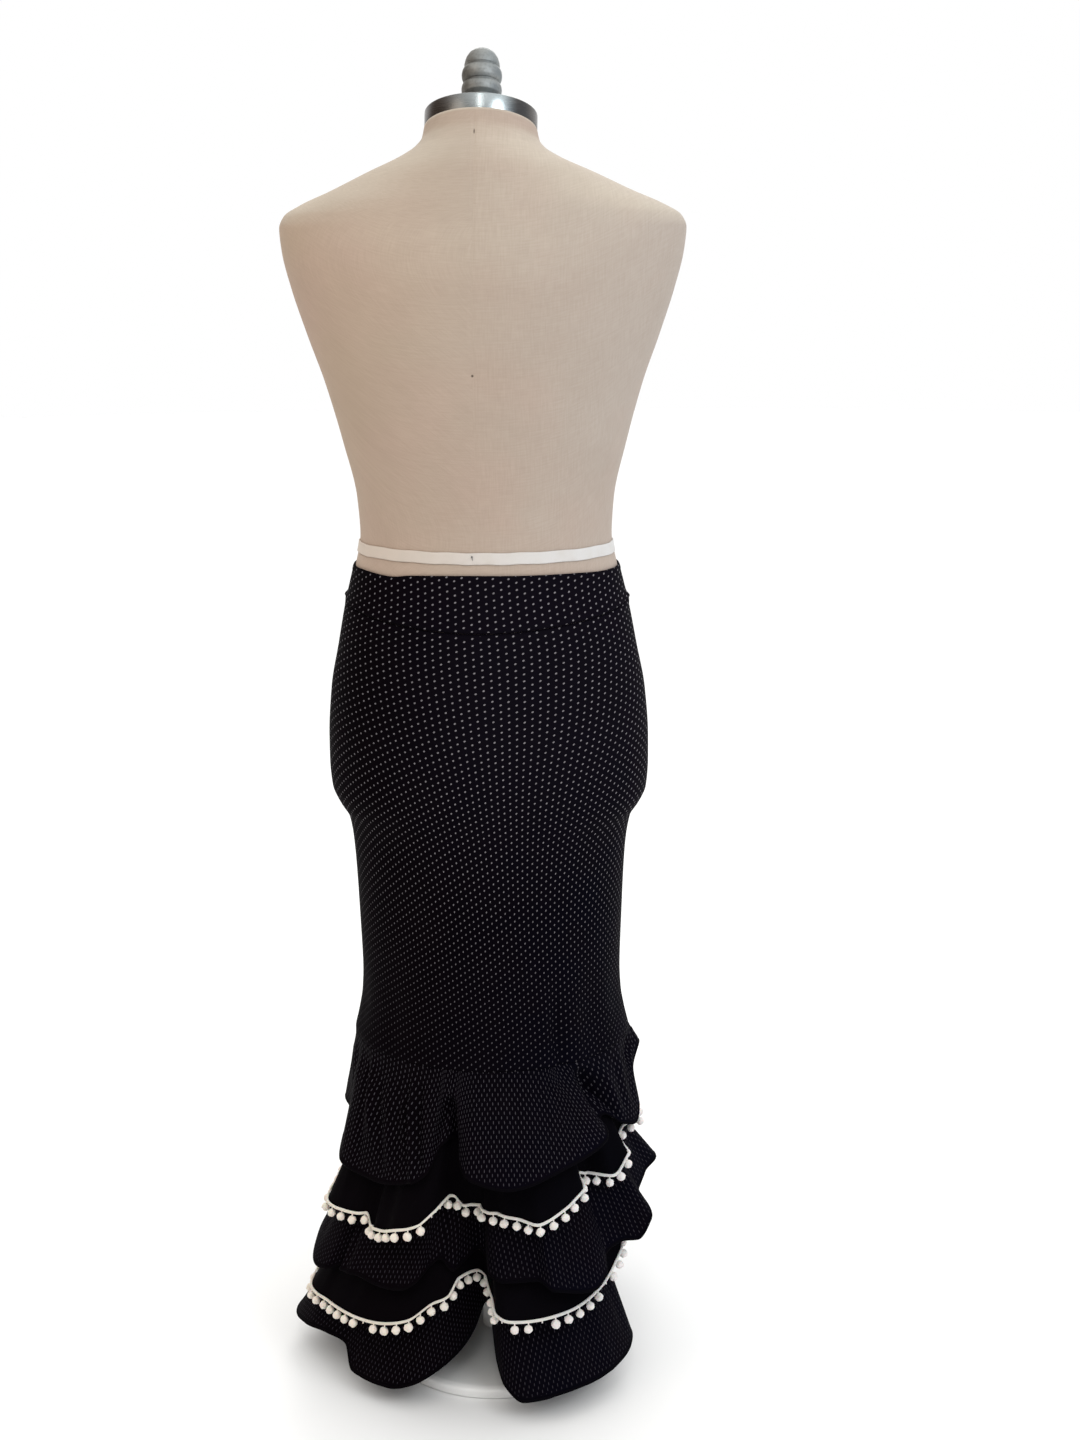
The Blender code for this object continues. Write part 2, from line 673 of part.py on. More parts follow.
def build_all():
    rig = bpy.data.objects.new("skirt_on_form", None)
    bpy.context.scene.collection.objects.link(rig)

    linen = make_material("linen", (0.56, 0.48, 0.38), 0.85)
    twill = make_material("white_twill", (0.80, 0.78, 0.74), 0.8)
    steel = make_material("steel", (0.42, 0.41, 0.40), 0.30, 1.0)
    cast_metal = make_material("cast_metal", (0.36, 0.37, 0.36), 0.55, 0.8)
    enamel = make_material("white_enamel", (0.82, 0.82, 0.81), 0.35)
    dotted = make_material("dotted_knit", (0.030, 0.027, 0.034), 0.75)
    plain = make_material("plain_black", (0.010, 0.009, 0.012), 0.8)
    wool = make_material("white_pompoms", (0.78, 0.76, 0.73), 0.9)

    build_base(enamel, rig)
    build_pole(enamel, rig)
    build_form(linen, rig)
    build_tape(twill, rig)
    build_neck_plate(steel, rig)
    build_knob(cast_metal, rig)
    build_yoke("yoke_back", 0, dotted, rig)
    build_yoke("yoke_front", 180, dotted, rig)
    build_body_panel("body_back", 0, dotted, rig)
    build_body_panel("body_front", 180, dotted, rig)
    build_underskirt(plain, rig)
    for number, tier in enumerate(tiers):
        build_tier(number, plain if number % 2 else dotted, rig)
    build_trim("pompom_trim_upper", 1, wool, rig)
    build_trim("pompom_trim_lower", 3, wool, rig)


build_all()
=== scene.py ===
import json
import math

import bmesh
import bpy
import numpy as np
from mathutils import Matrix, Vector, noise

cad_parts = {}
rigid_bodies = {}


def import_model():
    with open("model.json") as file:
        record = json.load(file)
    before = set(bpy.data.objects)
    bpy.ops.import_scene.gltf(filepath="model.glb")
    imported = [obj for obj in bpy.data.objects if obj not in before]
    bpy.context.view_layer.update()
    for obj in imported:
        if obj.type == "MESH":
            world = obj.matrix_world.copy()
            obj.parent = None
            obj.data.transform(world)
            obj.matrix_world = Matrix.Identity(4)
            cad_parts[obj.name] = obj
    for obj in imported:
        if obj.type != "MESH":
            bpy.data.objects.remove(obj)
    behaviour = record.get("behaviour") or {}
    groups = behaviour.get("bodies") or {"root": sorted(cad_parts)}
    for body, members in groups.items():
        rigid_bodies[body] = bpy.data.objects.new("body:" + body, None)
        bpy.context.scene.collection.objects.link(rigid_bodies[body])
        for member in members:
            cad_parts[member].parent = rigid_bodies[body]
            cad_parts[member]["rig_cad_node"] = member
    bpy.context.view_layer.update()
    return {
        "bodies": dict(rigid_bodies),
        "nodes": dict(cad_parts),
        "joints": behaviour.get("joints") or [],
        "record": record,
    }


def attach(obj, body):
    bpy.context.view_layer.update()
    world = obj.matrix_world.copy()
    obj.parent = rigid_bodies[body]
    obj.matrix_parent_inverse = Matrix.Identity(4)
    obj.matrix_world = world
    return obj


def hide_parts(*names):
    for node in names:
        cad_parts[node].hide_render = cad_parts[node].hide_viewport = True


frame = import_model()
print("frame loaded:", len(frame["nodes"]), "nodes")


def placedObject(name, data):
    made = bpy.data.objects.new(name, data)
    bpy.context.scene.collection.objects.link(made)
    return made


# camera, fitted to the photo: metres and degrees round the Z axis, 0 looks at the skirt's back
camera = {
    "turn": 6.0,            # stands this far round from the middle of the back
    "distance": 2.0,
    "height": 1.31,
    "lookDown": 14.5,
    "lookRight": 1.7,       # the form stands left of the picture's middle
    "roll": 0.3,
    "lens": 45.0,
    "sensor": 36.0,
}


def addCamera():
    turn, right, down, roll = (math.radians(camera[key]) for key in ("turn", "lookRight", "lookDown", "roll"))
    data = bpy.data.cameras.new("photoCamera")
    data.lens, data.sensor_width = camera["lens"], camera["sensor"]
    data.clip_start, data.clip_end = 0.05, 60
    eye = placedObject("photoCamera", data)
    place = Matrix.Translation((0, -camera["distance"], camera["height"]))
    look = Matrix.Rotation(math.pi / 2 - down, 4, "X") @ Matrix.Rotation(-roll, 4, "Z")
    eye.matrix_world = Matrix.Rotation(turn, 4, "Z") @ place @ Matrix.Rotation(-right, 4, "Z") @ look
    bpy.context.scene.camera = eye


addCamera()
print("camera placed")


# node materials: a socket is linked, any other value is set, and a colour gets its alpha

def fill(material, socket, value):
    if isinstance(value, bpy.types.NodeSocket):
        material.node_tree.links.new(value, socket)
    else:
        socket.default_value = (*value, 1) if socket.type == "RGBA" and len(value) == 3 else value


def plug(material, name, value):
    fill(material, material.node_tree.nodes["Principled BSDF"].inputs[name], value)


def newMaterial(name, **sockets):
    material = bpy.data.materials.new(name)
    material.use_nodes = True
    for key, value in sockets.items():
        plug(material, key.replace("_", " "), value)
    return material


def node(material, kind, settings=None, **plugs):
    made = material.node_tree.nodes.new("ShaderNode" + kind)
    for key, value in (settings or {}).items():
        setattr(made, key, value)
    for key, value in plugs.items():
        fill(material, made.inputs[int(key[1:]) if key[1:].isdigit() else key], value)
    return made


def maths(m, operation, first, second=0.0):
    return node(m, "Math", {"operation": operation}, i0=first, i1=second).outputs[0]


def plus(m, first, second):
    return maths(m, "ADD", first, second)


def times(m, first, second):
    return maths(m, "MULTIPLY", first, second)


def vectors(m, operation, first, second=(0, 0, 0), out=0):
    return node(m, "VectorMath", {"operation": operation}, i0=first, i1=second).outputs[out]


def mixed(m, share, first, second):
    return node(m, "Mix", {"data_type": "RGBA"}, i0=share, i6=first, i7=second).outputs[2]


def ramp(m, value, low, high, toLow=0.0, toHigh=1.0, kind="LINEAR"):
    settings = {"interpolation_type": kind}
    return node(m, "MapRange", settings, i0=value, i1=low, i2=high, i3=toLow, i4=toHigh).outputs[0]


def gradual(m, value, low, high, toLow=0.0, toHigh=1.0):
    return ramp(m, value, low, high, toLow, toHigh, "SMOOTHSTEP")


def grain(m, scale, detail=3.0, rough=0.5, vector=None):
    return node(m, "TexNoise", None, Vector=vector or own(m), Scale=scale, Detail=detail, Roughness=rough).outputs[0]


def waves(m, direction, scale, distortion, layer="cloth"):
    vector, settings = clothMap(m, layer), {"bands_direction": direction}
    return node(m, "TexWave", settings, Vector=vector, Scale=scale, Distortion=distortion).outputs[1]


def stretched(m, vector, size):
    return node(m, "Mapping", None, Vector=vector, Scale=size).outputs[0]


def bump(m, height, strength, distance):
    plug(m, "Normal", node(m, "Bump", None, Height=height, Strength=strength, Distance=distance).outputs[0])


def own(m):
    return node(m, "TexCoord").outputs["Object"]


def axis(m, which, vector=None):
    return node(m, "SeparateXYZ", None, Vector=vector or own(m)).outputs[which]


def clothMap(m, name="cloth"):
    return node(m, "UVMap", {"uv_map": name}).outputs[0]


# painted light and shade: from one colour on the left to another on the right, between two places
def paintedSideways(m, low, high, left, right):
    return mixed(m, gradual(m, axis(m, 0), low, high), left, right)


# more or less of a colour where a pattern, or noise of a scale, detail and roughness, goes from low to high
def mottled(m, base, colour, pattern, low, high, toLow, toHigh):
    if isinstance(pattern, tuple):
        pattern = grain(m, *pattern)
    return mixed(m, ramp(m, pattern, low, high, toLow, toHigh), base, colour)


# linen over the padded trunk: threads, slubs, a warmer painted shade on the left, painted light where it faces up, a
# pin hole and a small mark at the nape
linen = {
    "left": (0.47, 0.355, 0.262), "right": (0.475, 0.415, 0.368), "dark": (0.27, 0.2, 0.145),
    "blush": (0.5, 0.352, 0.29), "paintedToplight": (0.6, 0.545, 0.455),          # painted light where it faces up
    "mark": (0.035, 0.022, 0.014), "thread": 0.0009, "slub": 620,
    # height, half width and half height of each mark down the middle of the back
    "marks": ((1.189, 0.0013, 0.0013), (1.4325, 0.0007, 0.0024)),
}


def linenMaterial():
    m = newMaterial("linen", Specular_IOR_Level=0.22, Sheen_Weight=0.08, Sheen_Roughness=0.5)
    weave = plus(m, *(waves(m, way, 0.314 / linen["thread"], 1.2) for way in "XY"))
    ways = (stretched(m, clothMap(m), size) for size in ((1, 0.08, 1), (0.08, 1, 1)))
    slubs = plus(m, *(grain(m, linen["slub"], 2.0, 0.5, way) for way in ways))
    upward = axis(m, 2, node(m, "NewGeometry").outputs["Normal"])
    # painted light and shade: darker and warmer on the left, paler and cooler on the right
    base = paintedSideways(m, -0.2, 0.19, linen["left"], linen["right"])
    base = mottled(m, base, linen["blush"], (6.0, 3.0, 0.55), 0.42, 0.72, 0.0, 0.45)
    # painted light: paler where the surface faces up
    base = mixed(m, gradual(m, upward, 0.05, 0.75, 0.0, 0.7), base, linen["paintedToplight"])
    base = mottled(m, base, linen["dark"], (17.0, 4.0, 0.6), 0.3, 0.85, 0.0, 0.16)
    base = mottled(m, base, linen["dark"], slubs, 0.75, 1.3, 0.22, 0.0)
    base = mottled(m, base, linen["dark"], weave, 0.0, 2.0, 0.2, 0.0)
    onBack = maths(m, "LESS_THAN", axis(m, 1), 0.0)
    for height, wide, tall in linen["marks"]:
        near = vectors(m, "MULTIPLY", own(m), (1 / wide, 0, 1 / tall))
        near = vectors(m, "DISTANCE", near, (0, 0, height / tall), 1)
        base = mixed(m, times(m, onBack, ramp(m, near, 0.6, 1.3, 0.85, 0.0)), base, linen["mark"])
    plug(m, "Base Color", base)
    plug(m, "Roughness", ramp(m, slubs, 0.7, 1.3, 0.78, 0.95))
    bump(m, plus(m, times(m, weave, 0.4), slubs), 0.3, 0.0005)
    return m


# black knit with pin dots, in a staggered repeat
knit = {
    # the ground turns bluer toward the right: a painted sheen
    "ground": (0.0016, 0.0007, 0.0015), "paintedSheen": (0.0014, 0.0013, 0.0038), "worn": (0.0028, 0.0016, 0.0025),
    "stretched": (0.0044, 0.0034, 0.0062),               # the ground pales where the hips stretch it, and painted shade keeps it dark toward the left
    # heights between which the dots change, their two colours, and the shares of brightness that painted shade leaves
    # them toward the left
    "bodyDots": (0.43, 0.72, (0.07, 0.065, 0.073), (0.21, 0.197, 0.21), 0.42, 0.65),
    "flounceDots": (0.25, 0.34, (0.034, 0.031, 0.038), (0.06, 0.056, 0.065), 0.95, 0.95),
    "across": 0.066, "down": 0.135, "slant": 0.42,       # half a dot, in shares of the stretched repeat
    "repeat": (0.0104, 0.0066),                          # the relaxed repeat, along and across the grain
    "dotWide": 0.00048, "dotLong": 0.0018,               # half a dot of the flounces
    "plainEdge": 0.005,                                  # the rolled edge of a flounce has no dots
    "rib": 262.0,
}


# dots at the corners and the middle of each cell; first and second turn a step in the cell into half dots
def dotMask(m, cell, first, second, firmness):
    nearest = []
    for shift in (0.0, 0.5):
        part = vectors(m, "FRACTION", vectors(m, "ADD", cell, (shift, shift, 0.0)))
        part = vectors(m, "SUBTRACT", part, (0.5, 0.5, 0.0))
        x, y = (vectors(m, "DOT_PRODUCT", part, way, 1) for way in (first, second))
        nearest.append(plus(m, times(m, x, x), times(m, y, y)))
    return ramp(m, maths(m, "MINIMUM", *nearest), 1 - firmness, 1 + firmness, 1.0, 0.0)


def stretchedMask(m):
    slanted = (1 / knit["across"], -knit["slant"] / knit["down"], 0)
    return dotMask(m, clothMap(m), slanted, (0, 1 / knit["down"], 0), 0.28)


# on a circular cut the dots stand along the cloth's fall, while their repeat keeps to the grain
def circularMask(m):
    down = vectors(m, "NORMALIZE", clothMap(m))
    across = vectors(m, "CROSS_PRODUCT", down, (0, 0, 1))
    size = (*knit["repeat"], 1.0)
    wide = vectors(m, "MULTIPLY", across, tuple(part / knit["dotWide"] for part in size))
    long = vectors(m, "MULTIPLY", down, tuple(part / knit["dotLong"] for part in size))
    return dotMask(m, vectors(m, "DIVIDE", clothMap(m), size), wide, long, 0.35)


# dots from one colour low down to another higher up, and dimmed by painted shade toward the left
def dotColour(m, low, high, foot, top, footShade, topShade):
    height = axis(m, 2)
    shade = ramp(m, height, low, high, footShade, topShade)
    colour = mixed(m, ramp(m, height, low, high), foot, top)
    # painted shade: the dots dim toward the left, more so low down
    return mixed(m, gradual(m, axis(m, 0), -0.17, 0.02, shade, 1.0), knit["ground"], colour)


def knitMaterial(name, mask, dots):
    m = newMaterial(name, Specular_IOR_Level=0.012, Sheen_Weight=0.003, Sheen_Roughness=0.3)
    fuzz = grain(m, 900, 2.0)
    edge = node(m, "Attribute", {"attribute_name": "toEdge"}).outputs["Fac"]
    shown = times(m, mask(m), ramp(m, edge, knit["plainEdge"] * 0.85, knit["plainEdge"] * 1.1))
    shown = times(m, shown, ramp(m, fuzz, 0.2, 0.6, 0.55, 1.0))
    # painted sheen: the ground turns bluer toward the right
    base = paintedSideways(m, -0.12, 0.17, knit["ground"], knit["paintedSheen"])
    base = mottled(m, base, knit["worn"], (18,), 0.35, 0.75, 0.0, 0.5)
    # paler over the hips except on the left: stretched knit, with painted shade on the left
    hips = times(m, ramp(m, axis(m, 2), 0.6, 0.8), ramp(m, axis(m, 0), -0.13, 0.02, 0.0, 0.75))
    plug(m, "Base Color", mixed(m, shown, mixed(m, hips, base, knit["stretched"]), dotColour(m, *knit[dots])))
    plug(m, "Roughness", ramp(m, fuzz, 0.2, 0.8, 0.64, 0.82))
    raised = plus(m, times(m, waves(m, "X", knit["rib"], 0.8, "yarn"), 0.5), plus(m, times(m, shown, 0.5), fuzz))
    bump(m, raised, 0.25, 0.0004)
    return m


# the neck plate's brushed band, with a painted reflection: dark on the left, bright, and dark again at its right edge
steel = {
    "left": (0.06, 0.047, 0.04), "right": (0.35, 0.4, 0.415), "edge": (0.08, 0.073, 0.068),
    "line": (0.38, 0.36, 0.345), "brush": 60,
}


def steelMaterial():
    m = newMaterial("brushedSteel", Metallic=1.0, Anisotropic=0.5)
    brushed = grain(m, steel["brush"], 4.0, 0.5, stretched(m, own(m), (1, 1, steel["brush"])))
    # painted reflection: dark and warm on the left, bright and blue on the right, dark again at the right edge
    base = paintedSideways(m, -0.05, 0.04, steel["left"], steel["right"])
    base = paintedSideways(m, 0.026, 0.044, base, steel["edge"])
    plug(m, "Base Color", mottled(m, base, steel["line"], brushed, 0.3, 0.7, 0.0, 0.16))
    marks = ramp(m, grain(m, 35), 0.5, 0.8, 0.0, 0.1)
    plug(m, "Roughness", plus(m, ramp(m, brushed, 0.3, 0.7, 0.16, 0.28), marks))
    bump(m, brushed, 0.05, 0.0002)
    return m


# finishes that are made alike. noise: scale, detail and roughness of the finish's own pattern; sides: two places and
# the colours of the painted light and shade left and right of them; layers: colour, pattern (None is its own), where
# it comes in, and its shares; rough: pattern, where it changes and the roughness there; bump: strength and distance
wool = {
    "shader": {"Roughness": 0.9, "Specular_IOR_Level": 0.2, "Sheen_Weight": 0.25, "Sheen_Roughness": 0.5,
               "Subsurface_Weight": 0.12, "Subsurface_Scale": 0.004},
    # sides: painted light, warmer on the left and cooler on the right
    "noise": (1500, 3.0, 0.7), "sides": (-0.14, 0.16, (0.84, 0.76, 0.66), (0.82, 0.8, 0.8)),
    # layers: painted shade, darker in the hollows of its own pattern, where the bump sinks
    "layers": (((0.5, 0.44, 0.38), None, 0.3, 0.7, 0.35, 0.0),), "bump": (0.6, 0.0006),
}
finishes = {
    "pompomWool": wool,
    "braidCotton": {**wool, "shader": {**wool["shader"], "Roughness": 0.8}},
    "whiteTwill": {
        "shader": {"Roughness": 0.8, "Specular_IOR_Level": 0.25, "Sheen_Weight": 0.05},
        # sides: painted light, warmer on the left and cooler on the right
        "ribs": 330.0, "sides": (-0.13, 0.12, (0.6, 0.505, 0.425), (0.65, 0.64, 0.635)),
        # layers: painted shade in the furrows between the ribs, where the bump sinks, then soiling
        "layers": (((0.45, 0.41, 0.36), None, 0.0, 1.0, 0.22, 0.0),
                   ((0.52, 0.47, 0.4), (60, 4.0), 0.45, 0.75, 0.0, 0.3)),
        "bump": (0.5, 0.0002),
    },
    "plainBlack": {
        "shader": {"Specular_IOR_Level": 0.015, "Sheen_Weight": 0.003, "Sheen_Roughness": 0.35},
        # sides: painted sheen, bluer toward the right
        "noise": (1300, 2.0), "sides": (-0.12, 0.17, (0.0017, 0.001, 0.0016), (0.0014, 0.0013, 0.0025)),
        "layers": (((0.0025, 0.0019, 0.0028), (26,), 0.35, 0.8, 0.0, 0.5),),
        "rough": (None, 0.2, 0.8, 0.62, 0.84), "bump": (0.2, 0.0003),
    },
    "castMetal": {
        "shader": {"Metallic": 0.85},
        # sides: painted reflection, dark and warm on the left, paler and bluer on the right
        "noise": (420, 4.0, 0.65), "sides": (-0.018, 0.012, (0.115, 0.105, 0.09), (0.24, 0.26, 0.265)),
        "layers": (((0.42, 0.42, 0.4), (60,), 0.35, 0.7, 0.0, 0.45),
                   ((0.14, 0.14, 0.13), None, 0.55, 0.8, 0.0, 0.5)),
        "rough": (None, 0.3, 0.8, 0.42, 0.68), "bump": (0.5, 0.0004),
    },
    "whiteEnamel": {
        "shader": {"Specular_IOR_Level": 0.5, "Coat_Weight": 0.25, "Coat_Roughness": 0.15},
        "noise": (260, 2.0), "sides": (0.0, 1.0, (0.83, 0.83, 0.82), (0.83, 0.83, 0.82)),
        "layers": (((0.72, 0.71, 0.69), (14, 4.0), 0.45, 0.8, 0.0, 0.4),),
        "rough": ((14, 4.0), 0.4, 0.8, 0.3, 0.5), "bump": (0.08, 0.0003),
    },
}


def alikeMaterial(name, finish):
    m = newMaterial(name, **finish["shader"])
    pattern = grain(m, *finish["noise"]) if "noise" in finish else waves(m, "DIAGONAL", finish["ribs"], 0.6)
    # painted light and shade from the left to the right
    base = paintedSideways(m, *finish["sides"])
    for colour, other, *reach in finish["layers"]:
        base = mottled(m, base, colour, other or pattern, *reach)
    plug(m, "Base Color", base)
    if "rough" in finish:
        other, *reach = finish["rough"]
        plug(m, "Roughness", ramp(m, grain(m, *other) if other else pattern, *reach))
    bump(m, pattern, *finish["bump"])
    return m


cloths = {name: alikeMaterial(name, finish) for name, finish in finishes.items()}
cloths["linen"] = linenMaterial()
cloths["dottedBody"] = knitMaterial("dottedKnitBody", stretchedMask, "bodyDots")
cloths["dottedFlounce"] = knitMaterial("dottedKnitFlounce", circularMask, "flounceDots")
cloths["brushedSteel"] = steelMaterial()
print("materials made:", len(cloths))


# smooth curves through short tables, and the shapes that the solids are built on

def smoothCurve(knots, values):
    knots, values = np.asarray(knots, float), np.asarray(values, float)
    gaps = np.diff(knots)
    rises = np.diff(values) / gaps
    before, after = rises[:-1], rises[1:]
    total = np.where(before * after > 0, before + after, 1.0)
    inner = np.where(before * after > 0, 2 * before * after / total, 0.0)
    slopes = np.concatenate([rises[:1], inner, rises[-1:]])

    def at(x):
        x = np.clip(np.asarray(x, float), knots[0], knots[-1])
        i = np.clip(np.searchsorted(knots, x, side="left") - 1, 0, len(knots) - 2)
        gap = gaps[i]
        t = (x - knots[i]) / gap
        start = (1 + 2 * t) * (1 - t) ** 2 * values[i] + t * (1 - t) ** 2 * gap * slopes[i]
        end = t * t * (3 - 2 * t) * values[i + 1] + t * t * (t - 1) * gap * slopes[i + 1]
        return start + end

    return at


def tableCurves(rows):
    columns = list(zip(*sorted(rows)))
    return [smoothCurve(columns[0], column) for column in columns[1:]]


# the same for a table that goes right round, its first column in degrees
def ringCurves(rows):
    rows = sorted(rows)
    lapped = [(row[0] - 360, *row[1:]) for row in rows[-3:]] + rows
    lapped += [(row[0] + 360, *row[1:]) for row in rows[:3]]
    return tableCurves(lapped)


# a table whose given columns are in millimetres, in metres
def metres(rows, *columns):
    return [tuple(value / 1000 if k in columns else value for k, value in enumerate(row)) for row in rows]


def oval(angle, width, depth, power=2.0):
    turn = np.radians(angle)
    return ((np.abs(np.sin(turn)) / width) ** power + (np.abs(np.cos(turn)) / depth) ** power) ** (-1 / power)


def placed(angle, radius, height):
    turn = np.radians(angle)
    return np.stack(np.broadcast_arrays(radius * np.sin(turn), -radius * np.cos(turn), height), axis=-1)


def wrapped(angle):
    return (np.asarray(angle, float) + 180) % 360 - 180


def hump(x):
    return np.exp(-x * x)


# distance travelled along one axis of a grid of points, starting at 0
def lengths(points, axis):
    steps = np.linalg.norm(np.diff(points, axis=axis), axis=-1)
    start = np.zeros_like(np.take(steps, [0], axis=axis))
    return np.concatenate([start, np.cumsum(steps, axis=axis)], axis=axis)


# a closed grid's own flat map: how far round, and how far down; it has one more column than the grid
def flatMap(grid):
    closing = np.concatenate([grid, grid[:, :1]], axis=1)
    return np.stack([lengths(closing, 1), lengths(closing, 0)], axis=-1)


# meshes

def finishPiece(piece, slot, *replaced):
    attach(piece, "root")
    if replaced:
        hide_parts(*replaced)
    return piece


# uv: {map: one pair per face corner}; numbers: {attribute: one value per point}
def meshPiece(name, points, faces, material, uv=None, numbers=None):
    mesh = bpy.data.meshes.new(name)
    mesh.from_pydata([tuple(p) for p in points], [], [tuple(int(i) for i in face) for face in faces])
    mesh.materials.append(material)
    mesh.polygons.foreach_set("use_smooth", [True] * len(mesh.polygons))
    for key, values in (uv or {}).items():
        layer = mesh.uv_layers.new(name=key)
        layer.data.foreach_set("uv", np.asarray(values, np.float32).ravel())
    for key, values in (numbers or {}).items():
        layer = mesh.attributes.new(key, "FLOAT", "POINT")
        layer.data.foreach_set("value", np.asarray(values, np.float32).ravel())
    mesh.update()
    return placedObject(name, mesh)


# points and faces that a builder holds
def shapeOf(builder):
    builder.verts.index_update()
    points = np.array([vertex.co for vertex in builder.verts])
    faces = [[vertex.index for vertex in face.verts] for face in builder.faces]
    builder.free()
    return points, faces


# quads of a grid whose rows run down and whose columns run anticlockwise, and each corner's place in it
def gridFaces(rows, columns, closed):
    last = columns if closed else columns - 1
    i, j = (part.ravel() for part in np.meshgrid(np.arange(rows - 1), np.arange(last), indexing="ij"))
    corners = np.stack([np.stack([i + down, j + on], 1) for down, on in ((0, 0), (1, 0), (1, 1), (0, 1))], axis=1)
    return corners[..., 0] * columns + corners[..., 1] % columns, corners


# the same for a closed grid with both its ends filled
def solidFaces(rows, columns):
    faces, corners = gridFaces(rows, columns, True)
    return [*faces, range(columns), range(rows * columns - 1, (rows - 1) * columns - 1, -1)], corners


# points and quads of rings that follow each other along a closed line
def closedRings(rings):
    count, sides = rings.shape[:2]
    i, j = (part.ravel() for part in np.meshgrid(np.arange(count), np.arange(sides), indexing="ij"))
    ring, nextRing, nextSide = i * sides, (i + 1) % count * sides, (j + 1) % sides
    return rings.reshape(-1, 3), np.stack([ring + j, ring + nextSide, nextRing + nextSide, nextRing + j], axis=1)


# a tube along a closed line, oval across it
def closedTube(line, out, down, sides, wide, tall):
    turn = (np.arange(sides) * 2 * math.pi / sides)[None, :, None]
    return closedRings(line[:, None] + out[:, None] * (np.cos(turn) * wide) + down[:, None] * (np.sin(turn) * tall))


# a sheet of cloth on a grid of points; a map has one more column than a closed grid, and one that
# changes from piece to piece of the cut comes as a layer for each, with each column's piece
def clothPiece(name, grid, maps, material, wall, closed, numbers=None):
    rows, columns = grid.shape[:2]
    faces, corners = gridFaces(rows, columns, closed)
    uv = {}
    for key, values in maps.items():
        i, j = corners[..., 0], corners[..., 1]
        if isinstance(values, tuple):
            layers, cut = values
            uv[key] = layers[np.repeat(cut[j[:, 0]][:, None], 4, axis=1), i, j]
        else:
            uv[key] = values[i, j]
    numbers = {key: np.broadcast_to(values, (rows, columns)) for key, values in (numbers or {}).items()}
    piece = meshPiece(name, grid.reshape(-1, 3), faces, material, uv, numbers)
    solid = piece.modifiers.new("wall", "SOLIDIFY")
    solid.thickness, solid.offset, solid.use_rim = wall, -1, True
    return piece


def turnedPiece(name, profile, cloth, slot, replaced, columns, frame=Matrix()):
    profile = np.asarray(profile, float)
    angle = (np.arange(columns) * 360 / columns)[None, :]
    points = [frame @ Vector(p) for p in placed(angle, profile[:, :1], profile[:, 1:]).reshape(-1, 3)]
    faces, _ = solidFaces(len(profile), columns)
    return finishPiece(meshPiece(name, points, faces, cloths[cloth]), slot, replaced)


# a profile of (radius, height) with each inner corner rounded off
def rounded(corners, radius, steps=4):
    corners = [Vector(c) for c in corners]
    path = [corners[0]]
    for before, corner, after in zip(corners, corners[1:], corners[2:]):
        a, b = (before - corner), (after - corner)
        cut = min(radius, a.length * 0.45, b.length * 0.45)
        start, end = corner + a.normalized() * cut, corner + b.normalized() * cut
        for step in range(steps + 1):
            t = step / steps
            path.append(start * (1 - t) ** 2 + corner * 2 * t * (1 - t) + end * t * t)
    path.append(corners[-1])
    return [tuple(p) for p in path]


# the dress form and its stand

form = {
    # height, half width and half depth in millimetres, slope of the section
    "sections": (
        (699, 148, 108, 0), (701, 162, 117, 0), (708, 172.5, 123.5, 0), (724, 178.5, 126, 0), (762, 180.3, 127.8, 0),
        (835, 175.7, 125.7, 0), (884, 166.2, 120, 0), (931, 156.8, 112.8, 0), (975, 146.8, 105.2, 0),
        (1010, 140.5, 101.5, 0), (1050, 142.7, 102.5, 0), (1111, 156, 109, 0), (1177, 173.8, 115, 0),
        (1225, 190.5, 116, 0), (1275, 206.5, 112.5, 0), (1315, 216.2, 104, 0), (1338, 218.4, 96.5, 0.02),
        (1350, 213, 92.5, 0.04), (1360, 196, 89, 0.07), (1373, 164, 84.5, 0.11), (1390, 125, 79, 0.16),
        (1404, 90, 72.5, 0.21), (1414, 72, 66.5, 0.26), (1424, 63.2, 62, 0.3),
        (1437, 59.8, 59.8, math.tan(math.radians(18))),
    ),
    "seamDeep": 0.0007, "seamWide": 0.0015, "lip": 0.0002,     # the sewn seam down the middle of the back and front
    "dent": (1.1905, 0.0011, 0.0075),           # pressed in round the pin hole: height, depth, radius
    "tape": (0.9905, 0.0125, 0.0009),           # waist tape: lower edge, width, wall
    "neckSlope": 18.0, "neckHeight": 1.437, "neckRadius": 0.0598,
    "plate": 0.017, "knob": 0.0708, "gap": 0.0003,
    "columns": 168, "drawn": 9.0, "rows": (10, 118, 48),        # columns are drawn together at the two seams
    "pole": 0.0125, "socket": 0.016, "baseRadius": 0.14, "base": 0.014, "trunkEnd": 0.699,
    # up the knob: share of its height, radius in millimetres
    "rings": (
        (1.0, 0.6), (0.992, 5.0), (0.97, 9.4), (0.92, 14.0), (0.85, 17.0), (0.78, 18.5), (0.73, 19.0),
        (0.71, 17.4), (0.69, 19.3), (0.65, 20.8), (0.59, 21.5), (0.53, 21.0), (0.49, 19.8), (0.47, 18.0),
        (0.45, 19.8), (0.42, 21.0), (0.365, 21.5), (0.3, 20.9), (0.25, 16.8), (0.03, 16.5), (0.0, 17.1), (0.0, 0.6),
    ),
}
formWidth, formDepth, formSlope = tableCurves(metres(form["sections"], 0, 1, 2))


def formPoints(angle, height, away=0.0):
    rise = np.clip((height - 1.02) / 0.25, 0, 1)
    neck = np.clip((height - 1.36) / 0.05, 0, 1)
    power = 2.0 + 0.35 * rise * (1 - neck)          # squarer at the shoulder blades
    radius = oval(angle, formWidth(height) + away, formDepth(height) + away, power)
    points = placed(angle, radius, height)
    points[..., 2] -= formSlope(height) * points[..., 1]
    return points


